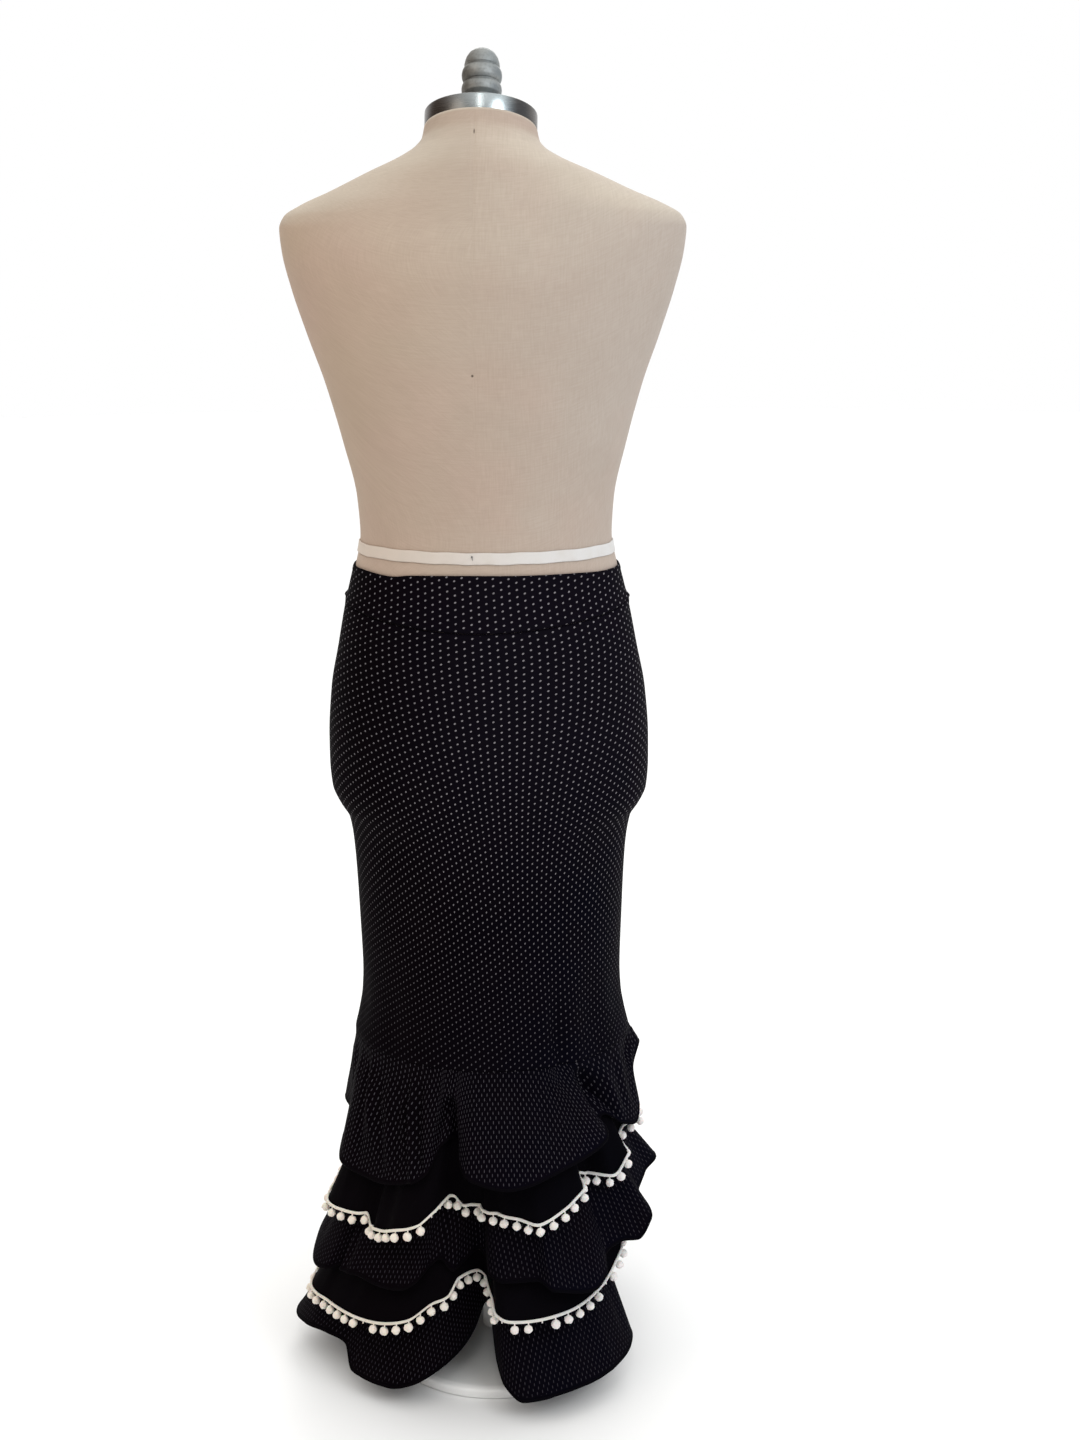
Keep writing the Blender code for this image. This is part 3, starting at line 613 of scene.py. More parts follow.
def addForm():
    heights = [row[0] / 1000 for row in form["sections"]]
    levels = (heights[0], heights[3], 1.33, heights[-1])        # the rounded end, the trunk, the shoulders
    spans = [np.linspace(*span) for span in zip(levels, levels[1:], form["rows"])]
    height = np.unique(np.concatenate(spans))[::-1][:, None]
    turn = np.arange(form["columns"]) * 360 / form["columns"]
    grid = formPoints((turn - form["drawn"] * np.sin(np.radians(2 * turn)))[None, :], height)
    inward = grid * np.array([1, 1, 0])
    inward /= np.maximum(np.linalg.norm(inward, axis=-1, keepdims=True), 1e-9)
    across = grid[..., 0] / form["seamWide"]
    shown = np.clip((1.432 - height) / 0.01, 0, 1) * (0.35 + 0.65 * np.clip((height - 1.2) / 0.12, 0, 1))
    groove = form["seamDeep"] * hump(across) - form["lip"] * (hump(across - 2.2) + hump(across + 2.2))
    level, deep, size = form["dent"]
    dent = deep * np.exp(-(grid[..., 0] ** 2 + (height - level) ** 2) / size ** 2) * (grid[..., 1] < 0)
    grid = grid - inward * (groove * shown + dent)[..., None]
    rows, columns = grid.shape[:2]
    faces, corners = solidFaces(rows, columns)
    uv = flatMap(grid)[corners[..., 0], corners[..., 1]].reshape(-1, 2)
    uv = np.concatenate([uv, grid[0, :, :2], grid[-1, ::-1, :2]])
    piece = meshPiece("linenForm", grid.reshape(-1, 3), faces, cloths["linen"], {"cloth": uv})
    finishPiece(piece, "linen", "form_torso")


def addTape():
    low, width, wall = form["tape"]
    angle = (np.arange(240) * 1.5)[None, :]
    share = np.array([0.0, 0.08, 0.2, 0.35, 0.5, 0.65, 0.8, 0.92, 1.0])[:, None]
    crown = 0.0002 * np.sin(share * math.pi)
    pucker = 0.00025 * np.sin(np.radians(angle * 41)) * np.abs(share - 0.5) * 2
    height = low + width * (1 - share) + 0.0003 * np.sin(np.radians(angle * 17))
    grid = formPoints(angle, height, form["gap"] + wall + crown + pucker)
    flat = flatMap(grid)
    piece = clothPiece("waistTape", grid, {"cloth": flat}, cloths["whiteTwill"], wall, True)
    finishPiece(piece, "white_twill", "waist_tape")
    pin = addPin(low + width * 0.52)


pinSize = {"place": -0.004, "length": 0.0042, "thick": 0.0004, "head": 0.001, "tilt": 0.16, "proud": 0.0019}


# a small steel pin, pushed in through the tape near the middle of the back
def addPin(height):
    builder = bmesh.new()
    middle = Vector((pinSize["place"], -float(formDepth(height)) - pinSize["proud"], height))
    along = Vector((pinSize["tilt"], 0.12, -1)).normalized()
    turn = along.to_track_quat("Z", "Y").to_matrix().to_4x4()
    thick, length = pinSize["thick"], pinSize["length"]
    bmesh.ops.create_cone(builder, cap_ends=True, segments=10, radius1=thick, radius2=thick / 2, depth=length,
                          matrix=Matrix.Translation(middle) @ turn)
    head = middle - along * length / 2
    bmesh.ops.create_icosphere(builder, subdivisions=3, radius=pinSize["head"], matrix=Matrix.Translation(head))
    return finishPiece(meshPiece("tapePin", *shapeOf(builder), cloths["castMetal"]), "steel")


axle = 0.0006       # radius of the pinched ends of a turned profile


# the tilted neck plate, and the knob on it, stand on a sloping frame
def addNeck():
    tilt = Matrix.Rotation(-math.radians(form["neckSlope"]), 4, "X")
    neck = Matrix.Translation((0, 0, form["neckHeight"])) @ tilt
    gap, plate, radius = form["gap"], form["plate"], form["neckRadius"]
    foot = plate + gap + 0.0004
    outline = ((axle, plate + 0.0004), (radius - 0.004, plate + 0.0004), (radius, plate), (radius, gap),
               (radius - 0.002, gap), (axle, gap))
    turnedPiece("neckPlate", rounded(outline, 0.0011), "brushedSteel", "steel", "neck_plate", 128, neck)
    profile = rounded([(ring, foot + form["knob"] * share) for share, ring in metres(form["rings"], 1)], 0.001)
    turnedPiece("neckKnob", profile, "castMetal", "cast_metal", "knob", 72, neck)


def addStand():
    base, radius, pole, socket, gap = (form[key] for key in ("base", "baseRadius", "pole", "socket", "gap"))
    outline = ((0.0135, base), (radius - 0.006, base), (radius, base - 0.003), (radius, 0.0), (0.0135, 0.0))
    disc = [(axle, base), *rounded(outline, 0.0025)[1:-1], (axle, 0.0)]
    turnedPiece("standBase", disc, "whiteEnamel", "white_enamel", "base", 160)
    top, low = form["trunkEnd"] - gap, base + gap
    outline = ((axle, top), (pole, top), (pole, low + 0.03), (socket, low + 0.028), (socket, low), (axle, low))
    turnedPiece("standPole", rounded(outline, 0.0012), "whiteEnamel", "white_enamel", "pole", 64)


addForm()
addTape()
addNeck()
addStand()
print("dress form and stand made")


# the fitted yoke and body, in dotted knit

bodice = {
    "wall": 0.0012, "gap": 0.0003, "top": 0.976, "yokeBack": 0.058, "yokeSide": 0.037, "end": 0.42,
    "foldedEdge": 0.006,                    # turned hem at the top of the yoke
    "knot": (0.003, 0.0045, 0.011),         # the seams' crossing at each side: height, half height, half width
    "columns": 130, "yokeRows": 34, "bodyRows": 128,
    # angle, millimetres that the yoke's upper edge rises or sags there
    "topEdge": (
        (-180, 1.5), (-110, 0.5), (-70, 0.0), (-49, -2.2), (-38, 0.6), (-20, 2.4), (0, 3.2), (30, 2.7), (52, 2.0),
        (72, 0.0), (110, 1.2), (180, 1.5),
    ),
    # height, half width, half depth in millimetres
    "sections": (
        (976, 148.9, 107.2), (931, 160, 116), (884, 169.2, 123), (835, 178.7, 128.7), (776, 183.2, 130.9),
        (748, 183.4, 130.9), (720, 181.4, 129), (702, 174.5, 126.2), (684, 164, 124), (660, 159, 123.2),
        (624, 156.3, 123.8), (558, 153.8, 125.5), (498, 152.2, 128), (467, 153.8, 130.5), (442, 158, 134),
        (420, 163.2, 139),
    ),
    # height, width and height of the dots' repeat in millimetres where the knit stretches, slope of its rows
    "repeat": (
        (400, 9.7, 7.9, 0.15), (441, 9.8, 8.0, 0.15), (525, 9.9, 8.2, 0.13), (572, 10.0, 8.3, 0.105),
        (620, 10.5, 8.3, 0.08), (667, 11.4, 8.1, 0.065), (712, 12.7, 7.7, 0.045), (758, 14.4, 7.6, 0.038),
        (803, 16.2, 7.5, 0.033), (848, 17.4, 7.4, 0.03), (891, 17.9, 7.3, 0.03), (957, 16.7, 7.5, 0.025),
        (1000, 16.5, 7.5, 0.025),
    ),
    "drift": 0.06,                          # the columns of dots drift to the right on their way down
    # angle, height, half width in degrees, half height and depth of each crease, heights and depths in millimetres
    "creases": (
        (-84, 690, 10, 16, 1), (84, 692, 11, 14, 1.2), (-62, 668, 14, 20, 0.9), (58, 664, 13, 18, 1),
        (-20, 640, 18, 30, 0.6), (26, 632, 16, 28, 0.6), (-46, 470, 5, 45, 1.1), (-31, 455, 4, 35, 0.8),
        (-13, 450, 5, 34, 1.4), (8, 458, 5, 40, 0.7), (38.5, 450, 3, 55, 6.2), (31, 458, 3.6, 48, -2.2),
        (58, 470, 6, 50, 2.6), (47, 448, 3.4, 45, -2), (-72, 462, 6, 40, 1.2), (76, 470, 6, 40, 1.2),
        (112, 470, 6, 45, 1.3), (138, 455, 5, 40, 1.2), (163, 462, 6, 40, 0.9), (187, 452, 5, 36, 1.2),
        (214, 466, 6, 45, 1), (241, 456, 6, 40, 1.3), (150, 650, 16, 24, 0.7), (208, 645, 15, 26, 0.7),
        (262, 478, 6, 40, 1.2),
    ),
}
bodyWidth, bodyDepth = tableCurves(metres(bodice["sections"], 0, 1, 2))
topEdge, = tableCurves(metres(bodice["topEdge"], 1))
repeatWide, repeatTall, rowSlope = tableCurves(metres(bodice["repeat"], 0, 1, 2))
rowHeights = np.linspace(0.28, 1.0, 460)
rowsBelow = np.concatenate([[0], np.cumsum(np.diff(rowHeights) / repeatTall((rowHeights[1:] + rowHeights[:-1]) / 2))])


def bodyRadius(angle, height):
    return oval(angle, bodyWidth(height), bodyDepth(height))


def bodyCreases(angle, height):
    depth = 0.0
    for where, level, wide, tall, deep in metres(bodice["creases"], 1, 3, 4):
        depth = depth + deep * hump(wrapped(angle - where) / wide) * hump((height - level) / tall)
    return depth


def yokeDrop(angle):
    side, back = bodice["yokeSide"], bodice["yokeBack"]
    return side + (back - side) * np.abs(np.cos(np.radians(angle)))


# where each point lies in the dots' staggered repeat: the columns close up below the hips
def dotCells(height, run):
    drift = bodice["drift"] * (bodice["top"] - height)
    across = (run - drift) / repeatWide(height)
    down = np.interp(height, rowHeights, rowsBelow) + rowSlope(height) * run / repeatTall(height)
    return np.stack([across, down], axis=-1)


# one panel of the fitted skirt, from side seam to side seam
def addPanel(name, middle, topOf, footOf, rows, replaced, raised):
    reach = 90 - math.degrees(bodice["gap"] / 2 / 0.16)
    angle = np.linspace(middle - reach, middle + reach, bodice["columns"])[None, :]
    height = topOf(angle) + (footOf(angle) - topOf(angle)) * np.linspace(0, 1, rows)[:, None]
    radius = bodyRadius(angle, height) + raised(angle, height)
    seam = np.radians(np.minimum(angle - (middle - reach), middle + reach - angle)) * 0.17      # metres from it
    radius = radius + 0.0007 * hump(seam / 0.003) - 0.0008 * hump(seam / 0.001)         # pressed open, then sunk
    high, tall, wide = bodice["knot"]
    radius = radius + high * hump((height - bodice["top"] + bodice["yokeSide"]) / tall) * hump(seam / wide)
    grid = placed(angle, radius, height)
    run = lengths(placed(angle, bodyRadius(angle, height), height), 1)
    half = run.shape[1] // 2
    run = run - run[:, half: half + 1]
    yarn = np.stack([run, np.broadcast_to(height, run.shape)], axis=-1)
    above, below = 2 * (topOf(angle) - height), 2 * (height - footOf(angle))
    paintedSeamShade = 0.0034 - 0.0028 * hump((angle - middle + 4) / 24)         # dots are left off along the seam as painted shade, in a wider band in the middle
    toEdge = np.minimum(above + 0.0046, below + paintedSeamShade) if raised == yokeRaised else above + paintedSeamShade
    maps = {"cloth": dotCells(height, run), "yarn": yarn}
    piece = clothPiece(name, grid, maps, cloths["dottedBody"], bodice["wall"], False, {"toEdge": toEdge})
    finishPiece(piece, "dotted_knit", replaced)
    down = lengths(grid, 0)
    wide, tall = float(run[:, -1].max() - run[:, 0].min()), float(down[-1].max())


def yokeTop(angle):
    return bodice["top"] + topEdge(wrapped(angle))


def yokeFoot(angle):
    return bodice["top"] - yokeDrop(angle)


def bodyTop(angle):
    return yokeFoot(angle) - bodice["gap"]


def bodyFoot(angle):
    return bodice["end"] + 0 * angle


# the yoke's folded top, and its lower edge rolled over the seam
def yokeRaised(angle, height):
    down, up = yokeTop(angle) - height, height - yokeFoot(angle)
    folded = 0.0005 * (1 - np.clip((down - bodice["foldedEdge"]) / 0.0012, 0, 1)) - 0.0008 * hump(down / 0.0012)
    return folded + 0.0006 * hump((up - 0.002) / 0.0022) - 0.0009 * hump(up / 0.0009)


# the body's creases, and its top edge turned under the yoke
def bodyRaised(angle, height):
    down = bodyTop(angle) - height
    return 0.0003 * hump((down - 0.0034) / 0.0026) - 0.001 * hump(down / 0.0013) - bodyCreases(angle, height)


for middle, side in ((0, "back"), (180, "front")):
    addPanel(f"yoke{side.title()}", middle, yokeTop, yokeFoot, bodice["yokeRows"], f"yoke_{side}", yokeRaised)
    addPanel(f"body{side.title()}", middle, bodyTop, bodyFoot, bodice["bodyRows"], f"body_{side}", bodyRaised)
print("yoke and body made")


# the flounces and the hidden underskirt that carries the lower four

skirt = {
    "wall": 0.0012, "layerGap": 0.0009, "underEnd": 0.212, "hemRoll": 0.0013,
    "blend": 0.002,                         # how softly a flounce comes to rest on the one inside it
    # height, half width, half depth of the underskirt in millimetres
    "under": (
        (430, 153.3, 130.8), (417, 150.0, 127.5), (385, 133.0, 117.0), (330, 121.0, 110.0), (260, 115.0, 105.0),
        (212, 112.0, 103.0),
    ),
    "flapAngle": 51.0, "flapLean": 13.0, "flapSpread": 14.0,    # the first flounce's overlapping flap
    # short gathers under the first flounce's seam: depth, and each one's ripples a turn, start and share of the depth
    "gather": 0.0016, "gathers": ((67, 0.7, 0.45), (41, 2.9, 0.35), (23, 1.1, 0.2)),
    "creaseRest": (0.3, 1.0, 0),            # what a short row of the creases below leaves off
}
# each flounce: the node it stands for, seam height, how its drop flares and how soon its folds deepen (1 = evenly),
# clearance to the flounce below, step between its columns, number of rows, and three tables:
# "cut": where each circular piece starts round the skirt, and how far its grain has turned in its middle;
# "hem": the angle of each ridge, flank or valley, and its radius and height in millimetres;
# "creases": angle, half width in degrees, depth in millimetres (+ is a trough), first and last share of the
# drop that it runs over, and its lean
flounces = (
    {"name": "flounceOne", "node": "tier_1", "top": 0.4197, "flare": 1.0, "folds": 1.8, "clear": 0.0045,
     "step": 0.0023, "rows": 40, "cut": ((-85, 90), (-14, 8), (57, 80), (128, 20), (200, 60)),
     "hem": (
         (-172, 186, 302), (-156, 166, 320), (-142, 178, 308), (-126, 184, 300), (-110, 166, 318), (-98, 176, 322),
         (-88, 180, 322), (-76, 172, 320), (-66, 188, 300), (-57, 200, 288), (-41, 191, 285), (-23, 190, 300),
         (-18.5, 182, 310), (-16, 145, 335), (-12.5, 128, 340), (-8, 162, 316), (-2, 190, 312), (11, 201, 306),
         (30, 196, 320), (49, 190, 334), (53, 180, 342), (57, 152, 348), (65, 178, 330), (72, 184, 323),
         (79, 181, 334), (86, 170, 372), (96, 177, 393), (112, 156, 365), (130, 174, 325), (146, 183, 310),
         (160, 167, 324), (174, 182, 308),
     ),
     "creases": (
         (-63, 2.4, -1.8, -0.1, 1, 8), (-55, 2.2, 4, -0.1, 1.05, 14), (-49.5, 1.9, -4.2, -0.1, 0.8, 20),
         (-44.5, 1.5, 3.6, -0.1, 1, 17), (-39.5, 1.7, -2.6, 0.05, 1, 14), (-34.5, 1.5, 3, -0.05, 1.05, 12),
         (-31.2, 1.2, 4.2, -0.1, 1.05, 11), (-28, 1.3, -7.6, -0.12, 1.1, 10.5), (-25, 1.1, 4.8, -0.1, 1.05, 9),
         (-21, 1.6, -2.2, 0.1, 1.05, 7), (-17.4, 1.4, 3, -0.05, 1.05, 5), (-13.4, 2.8, 10, 0.3, 1.1, 1),
         (-6, 2.2, 2, -0.05, 0.65, -3), (3, 2.6, 1.4, -0.05, 0.7, -1), (9, 1.6, -1.2, 0, 0.6),
         (14, 2.2, 1.2, 0.05, 0.9), (20, 3.2, -1.4, 0, 0.9, 2), (27, 2.4, 2, -0.1, 0.75, 5), (36, 2, 2, -0.1, 0.6, 9),
         (44, 1.8, -2, -0.1, 0.9, 9), (56.5, 3.6, 18, -0.12, 1.1), (64, 1.5, -2.4, 0, 1, 2), (68.5, 1.6, 2.6, 0, 0.9),
         (76, 2.2, 2.6, -0.1, 0.9), (83, 5, 8.5, -0.1, 0.72), (-72, 2.2, 3.4, -0.1, 0.9), (-84, 3, 2.6, -0.2, 0.8, 1),
         (94, 2.5, -2, 0.1), (104, 2.6, 3, -0.1, 0.9, -2), (113, 1.6, -2, 0, 1, -1), (122, 2.4, 2.4, 0, 0.95, 1),
         (139, 2.2, -2, 0, 1.1, -1), (150, 2.6, 3, -0.05, 0.95, 2), (158, 1.6, -1.6, 0.05, 1, 2),
         (168, 2.2, 2.2, 0, 1, -2), (181, 2.6, -1.8, 0, 1, 1), (197, 2.4, 3.2, -0.05, 0.95, -2),
         (206, 1.6, -1.8, 0.05), (213, 2.2, 2.4, 0, 0.95, 1), (230, 2.8, 2.2, 0, 0.9, 2), (239, 1.8, -1.8, 0.05),
         (247, 2.4, 3.4, -0.05, 0.95, -1), (262, 2.2, -1.8, 0),
     )},
    {"name": "flounceTwo", "node": "tier_2", "top": 0.385, "flare": 0.85, "folds": 0.85, "clear": 0.0085,
     "step": 0.003, "rows": 30, "cut": ((-85, 0), (95, 0)), "trim": "pompom_trim_upper",
     "hem": (
         (-175, 190, 246), (-160, 172, 262), (-146, 184, 250), (-130, 194, 242), (-114, 180, 256), (-98, 176, 260),
         (-84, 172, 252), (-71, 192, 240), (-60, 213, 231), (-53, 206, 232), (-47.5, 198, 234), (-45, 190, 235),
         (-42, 189, 223), (-38, 199, 228), (-33, 201, 232), (-28, 206, 241), (-20, 200, 251), (-16.5, 184, 262),
         (-14, 152, 268), (-8, 137, 252), (2, 138, 253), (9.5, 168, 255), (16, 181, 255), (21, 199, 257),
         (30, 197, 269), (38, 190, 281), (43, 160, 285), (48, 158, 280), (54, 187, 280), (61, 190, 297),
         (66, 168, 306), (71, 166, 312), (79, 180, 319), (88, 172, 325), (99, 168, 318), (110, 162, 298),
         (126, 178, 268), (142, 188, 252), (156, 172, 264), (170, 188, 248),
     ),
     "creases": (
         (-66, 2.4, 2, 0.2), (-56, 1.6, -1.4, 0.3, 1.1, 1), (-33, 2.4, 1.8, 0.3, 1, 1), (-24, 1.8, -1.4, 0.2, 1.1, 1),
         (14, 1.6, 1.6, 0.3, 1.1), (26, 2.4, -1.4, 0.3, 1, 1), (34, 1.8, 1.8, 0.3, 1.1), (58, 1.8, 1.4),
         (92, 2.6, 2, 0.2), (118, 2.4, 2, 0.2, 1, 1), (136, 2.2, -1.4), (162, 2.2, 1.8, 0.2),
         (192, 2.2, 1.8, 0.3, 1, -1), (222, 2.6, -1.4, 0.2), (238, 2.2, 2), (256, 2.4, 1.6, 0.2),
     )},
    {"name": "flounceThree", "node": "tier_3", "top": 0.325, "flare": 0.85, "folds": 0.95, "clear": 0.0045,
     "step": 0.0026, "rows": 32, "cut": ((-100, 85), (-20, 80), (2, 90), (50, 60), (128, 10), (196, 40)),
     "hem": (
         (-180, 204, 172), (-166, 186, 188), (-152, 200, 178), (-138, 206, 172), (-122, 190, 186), (-106, 204, 174),
         (-92, 194, 182), (-76, 216, 162), (-64, 229, 149), (-57, 224, 155), (-54.5, 205, 160), (-51.5, 217, 162),
         (-43, 209, 166), (-34, 204, 163), (-27, 201, 166), (-21.5, 194, 178), (-19.5, 172, 188), (-17, 163, 194),
         (-11, 146, 182), (-3, 124, 190), (1, 132, 184), (3.5, 165, 180), (9.5, 183, 181), (21, 188, 182),
         (24, 211, 180), (38, 213, 168), (45, 204, 175), (50, 188, 190), (56, 194, 197), (60, 209, 198),
         (65, 214, 216), (76, 184, 231), (86, 186, 236), (96, 199, 239), (105, 198, 230), (114, 172, 218),
         (128, 190, 196), (142, 202, 182), (154, 184, 194), (166, 200, 178),
     ),
     "creases": (
         (-70, 7, 8.5, -0.2, 0.62), (-57, 3, 4, -0.2, 0.6), (-69, 2.6, 2.2, 0.2), (-51, 1.7, 7.5, 0, 1.1, 2),
         (-40, 2.6, -1.6, 0.4, 1.1), (-33, 1.8, 1.8, 0.3, 1, 1), (-15, 1.6, 1.4, 0.4, 1, 1), (6, 1.2, -1.2, 0.3, 1.1),
         (13, 1.6, 1.8, 0.3, 1.1), (18, 1.4, -1.2), (30, 2.4, 1.8, 0.4, 1.1, 1), (42, 1.8, -1.2, 0.3, 1, 1),
         (60, 1.8, 2, 0.3, 1.1), (71, 2.2, 2, 0.2), (90, 2.4, 1.8, 0.2), (120, 2.4, 2, 0.2, 1, 1), (136, 2.2, 1.6),
         (172, 2.2, 1.8, 0.2, 1, -1), (200, 2.4, 1.8), (216, 2.6, -1.4, 0.2), (246, 2.2, 2), (262, 2.4, 1.6, 0.2),
     )},
    {"name": "flounceFour", "node": "tier_4", "top": 0.268, "flare": 0.85, "folds": 0.85, "clear": 0.0085,
     "step": 0.003, "rows": 30, "cut": ((-92, 0), (88, 0)), "trim": "pompom_trim_lower",
     "hem": (
         (-174, 200, 118), (-160, 176, 138), (-147, 192, 124), (-132, 208, 117), (-116, 200, 128), (-104, 192, 136),
         (-94, 196, 124), (-83, 208, 113), (-70, 229, 101), (-60, 220, 104), (-37, 209, 113), (-25, 199, 125),
         (-18, 181, 143), (-13, 172, 150), (-11, 150, 162), (-4, 120, 157), (1.5, 114, 143), (4.2, 128, 136),
         (6.5, 174, 132), (11, 189, 132), (31, 197, 138), (47, 190, 150), (58, 186, 173), (72, 164, 190),
         (88, 168, 204), (102, 172, 196), (118, 168, 148), (132, 188, 125), (146, 198, 120), (159, 170, 138),
         (172, 192, 122),
     ),
     "creases": (
         (-76, 8, 8, -0.2, 0.75), (-76, 2.4, 1.8), (-64, 1.8, -1.4, 0.3, 1.1), (-50, 2.6, 1.6, 0.3, 1, 1),
         (-31, 2, 1.4, 0.3, 1, 1), (20, 2.4, 1.4), (38, 2.4, 1.8), (52, 1.8, -1.2), (98, 2.6, 1.6, 0.2),
         (126, 2.4, 1.8, 0.2), (140, 2.2, -1.2), (166, 2.4, 1.8, 0.2), (194, 2.6, 1.6), (220, 2.2, 1.8, 0.2),
         (238, 2.6, -1.4), (250, 2.4, 1.6, 0.2),
     )},
    {"name": "flounceFive", "node": "tier_5", "top": 0.2117, "flare": 0.85, "folds": 0.95, "clear": 0.0,
     "step": 0.0026, "rows": 32, "cut": ((-104, 40), (-50, 65), (2, 0), (84, 70), (140, 10), (200, 50)),
     "hem": (
         (-172, 201, 34), (-158, 168, 52), (-146, 192, 36), (-131, 210, 30), (-116, 202, 40), (-104, 190, 50),
         (-94, 230, 44), (-84, 248, 38), (-73, 238, 48), (-62, 218, 56), (-56, 204, 50), (-50, 208, 28),
         (-33, 200, 30), (-25, 190, 38), (-19, 165, 46), (-12.5, 125, 56), (-8.5, 104, 68), (-1.5, 86, 96),
         (2, 90, 90), (4.2, 114, 72), (6.2, 146, 54), (9, 176, 42), (15, 196, 33), (36, 202, 40), (58, 194, 40),
         (70, 184, 44), (84, 146, 60), (104, 146, 50), (120, 156, 44), (134, 182, 36), (148, 205, 32), (161, 182, 44),
         (174, 203, 32),
     ),
     "creases": (
         (-90, 2.4, 1.8, 0.3, 1.1), (-80, 1.8, -1.4), (-66, 2.2, 2.2, 0.2, 1.1, 1), (-45, 2.2, 1.8, 0.3, 1.1, 1),
         (-38, 1.6, -1.4), (-29, 2.4, 1.8, 0.3, 1, 2), (-15, 1.8, 1.2, 0.3, 1, 2), (11, 1.6, 1.4, 0.3, 1.1, -1),
         (20, 2.6, -1.4), (27, 2, 1.8, 0.3, 1.1), (42, 2.4, 1.8, 0.2), (50, 1.6, -1.2, 0.3, 1.1), (64, 2.4, 2),
         (92, 2.6, 1.8, 0.2), (126, 2.4, 1.8), (142, 2.4, -1.4), (168, 2.2, 1.8, 0.2), (196, 2.4, 2),
         (222, 2.6, 1.8, 0.2), (236, 2.2, -1.4), (250, 2.4, 1.6),
     )},
)
underWidth, underDepth = tableCurves(metres(skirt["under"], 0, 1, 2))
hemCurves = [ringCurves(metres(flounce["hem"], 1, 2)) for flounce in flounces]


# a hem's radius averaged over its folds
def averaged(hemRadius):
    angles = np.arange(-180, 181)
    shares = {turn: float(hump(turn / 22)) for turn in range(-40, 41, 5)}
    values = sum(share * hemRadius(wrapped(angles + turn)) for turn, share in shares.items()) / sum(shares.values())
    return lambda angle: np.interp(wrapped(angle), angles, values)


hemLevels = [averaged(radius) for radius, _ in hemCurves]


def topRadius(number, angle):
    if number == 0:
        return bodyRadius(angle, bodice["end"])
    lowest = number == len(flounces) - 1            # the last flounce is sewn to the underskirt's own end
    height = skirt["underEnd"] if lowest else flounces[number]["top"]
    return oval(angle, underWidth(height), underDepth(height)) + (0 if lowest else skirt["wall"] + skirt["layerGap"])


def creaseDepth(number, angle, fall):
    depth = 0.0
    if number == 0:
        ripple = sum(share * np.sin(np.radians(angle * count) + start) for count, start, share in skirt["gathers"])
        depth = skirt["gather"] * ripple * hump((fall - 0.1) / 0.26)
    for row in metres(flounces[number]["creases"], 2):
        where, wide, deep, first, last, lean = row + skirt["creaseRest"][len(row) - 3:]
        turn = wrapped(angle - where - lean * (fall - 0.5)) / (wide * (0.75 + 0.5 * fall))
        span = np.clip((fall - first) / 0.22, 0, 1) * np.clip((last - fall) / 0.25, 0, 1)
        depth = depth + deep * hump(turn) * span * span * (3 - 2 * span)
    return depth


# outer radius at an angle and a height, clear of the flounces inside it
def flounceRadius(number, angle, height):
    flounce = flounces[number]
    hemRadius, hemHeight = hemCurves[number]
    angle = wrapped(angle)
    fall = np.clip((flounce["top"] - height) / (flounce["top"] - hemHeight(angle)), 0, 1)
    start = topRadius(number, angle)
    level = hemLevels[number](angle)
    radius = start + (level - start) * fall ** flounce["flare"]
    radius = radius + (hemRadius(angle) - level) * fall ** flounce["folds"]
    radius = radius - creaseDepth(number, angle, fall) * np.clip(fall * 5, 0, 1)
    if number + 1 < len(flounces):
        below = height < flounces[number + 1]["top"] + 2 * skirt["blend"]
        inner = np.max([flounceRadius(number + 1, angle + turn, height) for turn in range(-2, 3)], axis=0)
        wanted = inner + 2 * skirt["wall"] + flounce["clear"] * fall ** 1.5
        smooth = (radius + wanted + np.sqrt((radius - wanted) ** 2 + skirt["blend"] ** 2)) / 2
        radius = np.where(below, smooth, radius)
    return radius


def flouncePoints(number, angle, fall):
    flounce = flounces[number]
    height = flounce["top"] + (hemCurves[number][1](wrapped(angle)) - flounce["top"]) * fall
    radius = flounceRadius(number, angle, height)
    if number == 0:                                 # the flap leans over, and the seam follows the body's creases
        lean = skirt["flapLean"] * hump((wrapped(angle) - skirt["flapAngle"]) / skirt["flapSpread"])
        angle = angle - lean * (1 - fall)
        edge = bodyRadius(angle, bodice["end"]) - bodyCreases(angle, bodice["end"])
        blend = np.clip(fall * 3, 0, 1)
        radius = edge * (1 - blend) + radius * blend
    return placed(angle, radius, height)


# angles at even steps of cloth along a hem, from the middle of the front right round
def evenHem(number, step):
    dense = np.linspace(-180, 180, 2881)
    run = lengths(flouncePoints(number, dense, np.ones_like(dense)), 0)
    count = max(12, round(run[-1] / step))
    return np.interp(np.arange(count + 1) * run[-1] / count, run, dense), run[-1]


# along a closed grid's last row: its points and the outward and downward directions
def hemFrame(grid):
    hem, above = grid[-1], grid[-3]
    along = np.roll(hem, -1, axis=0) - np.roll(hem, 1, axis=0)
    down = hem - above
    down /= np.linalg.norm(down, axis=1, keepdims=True)
    out = np.cross(down, along)
    out /= np.linalg.norm(out, axis=1, keepdims=True)
    return hem, out, down


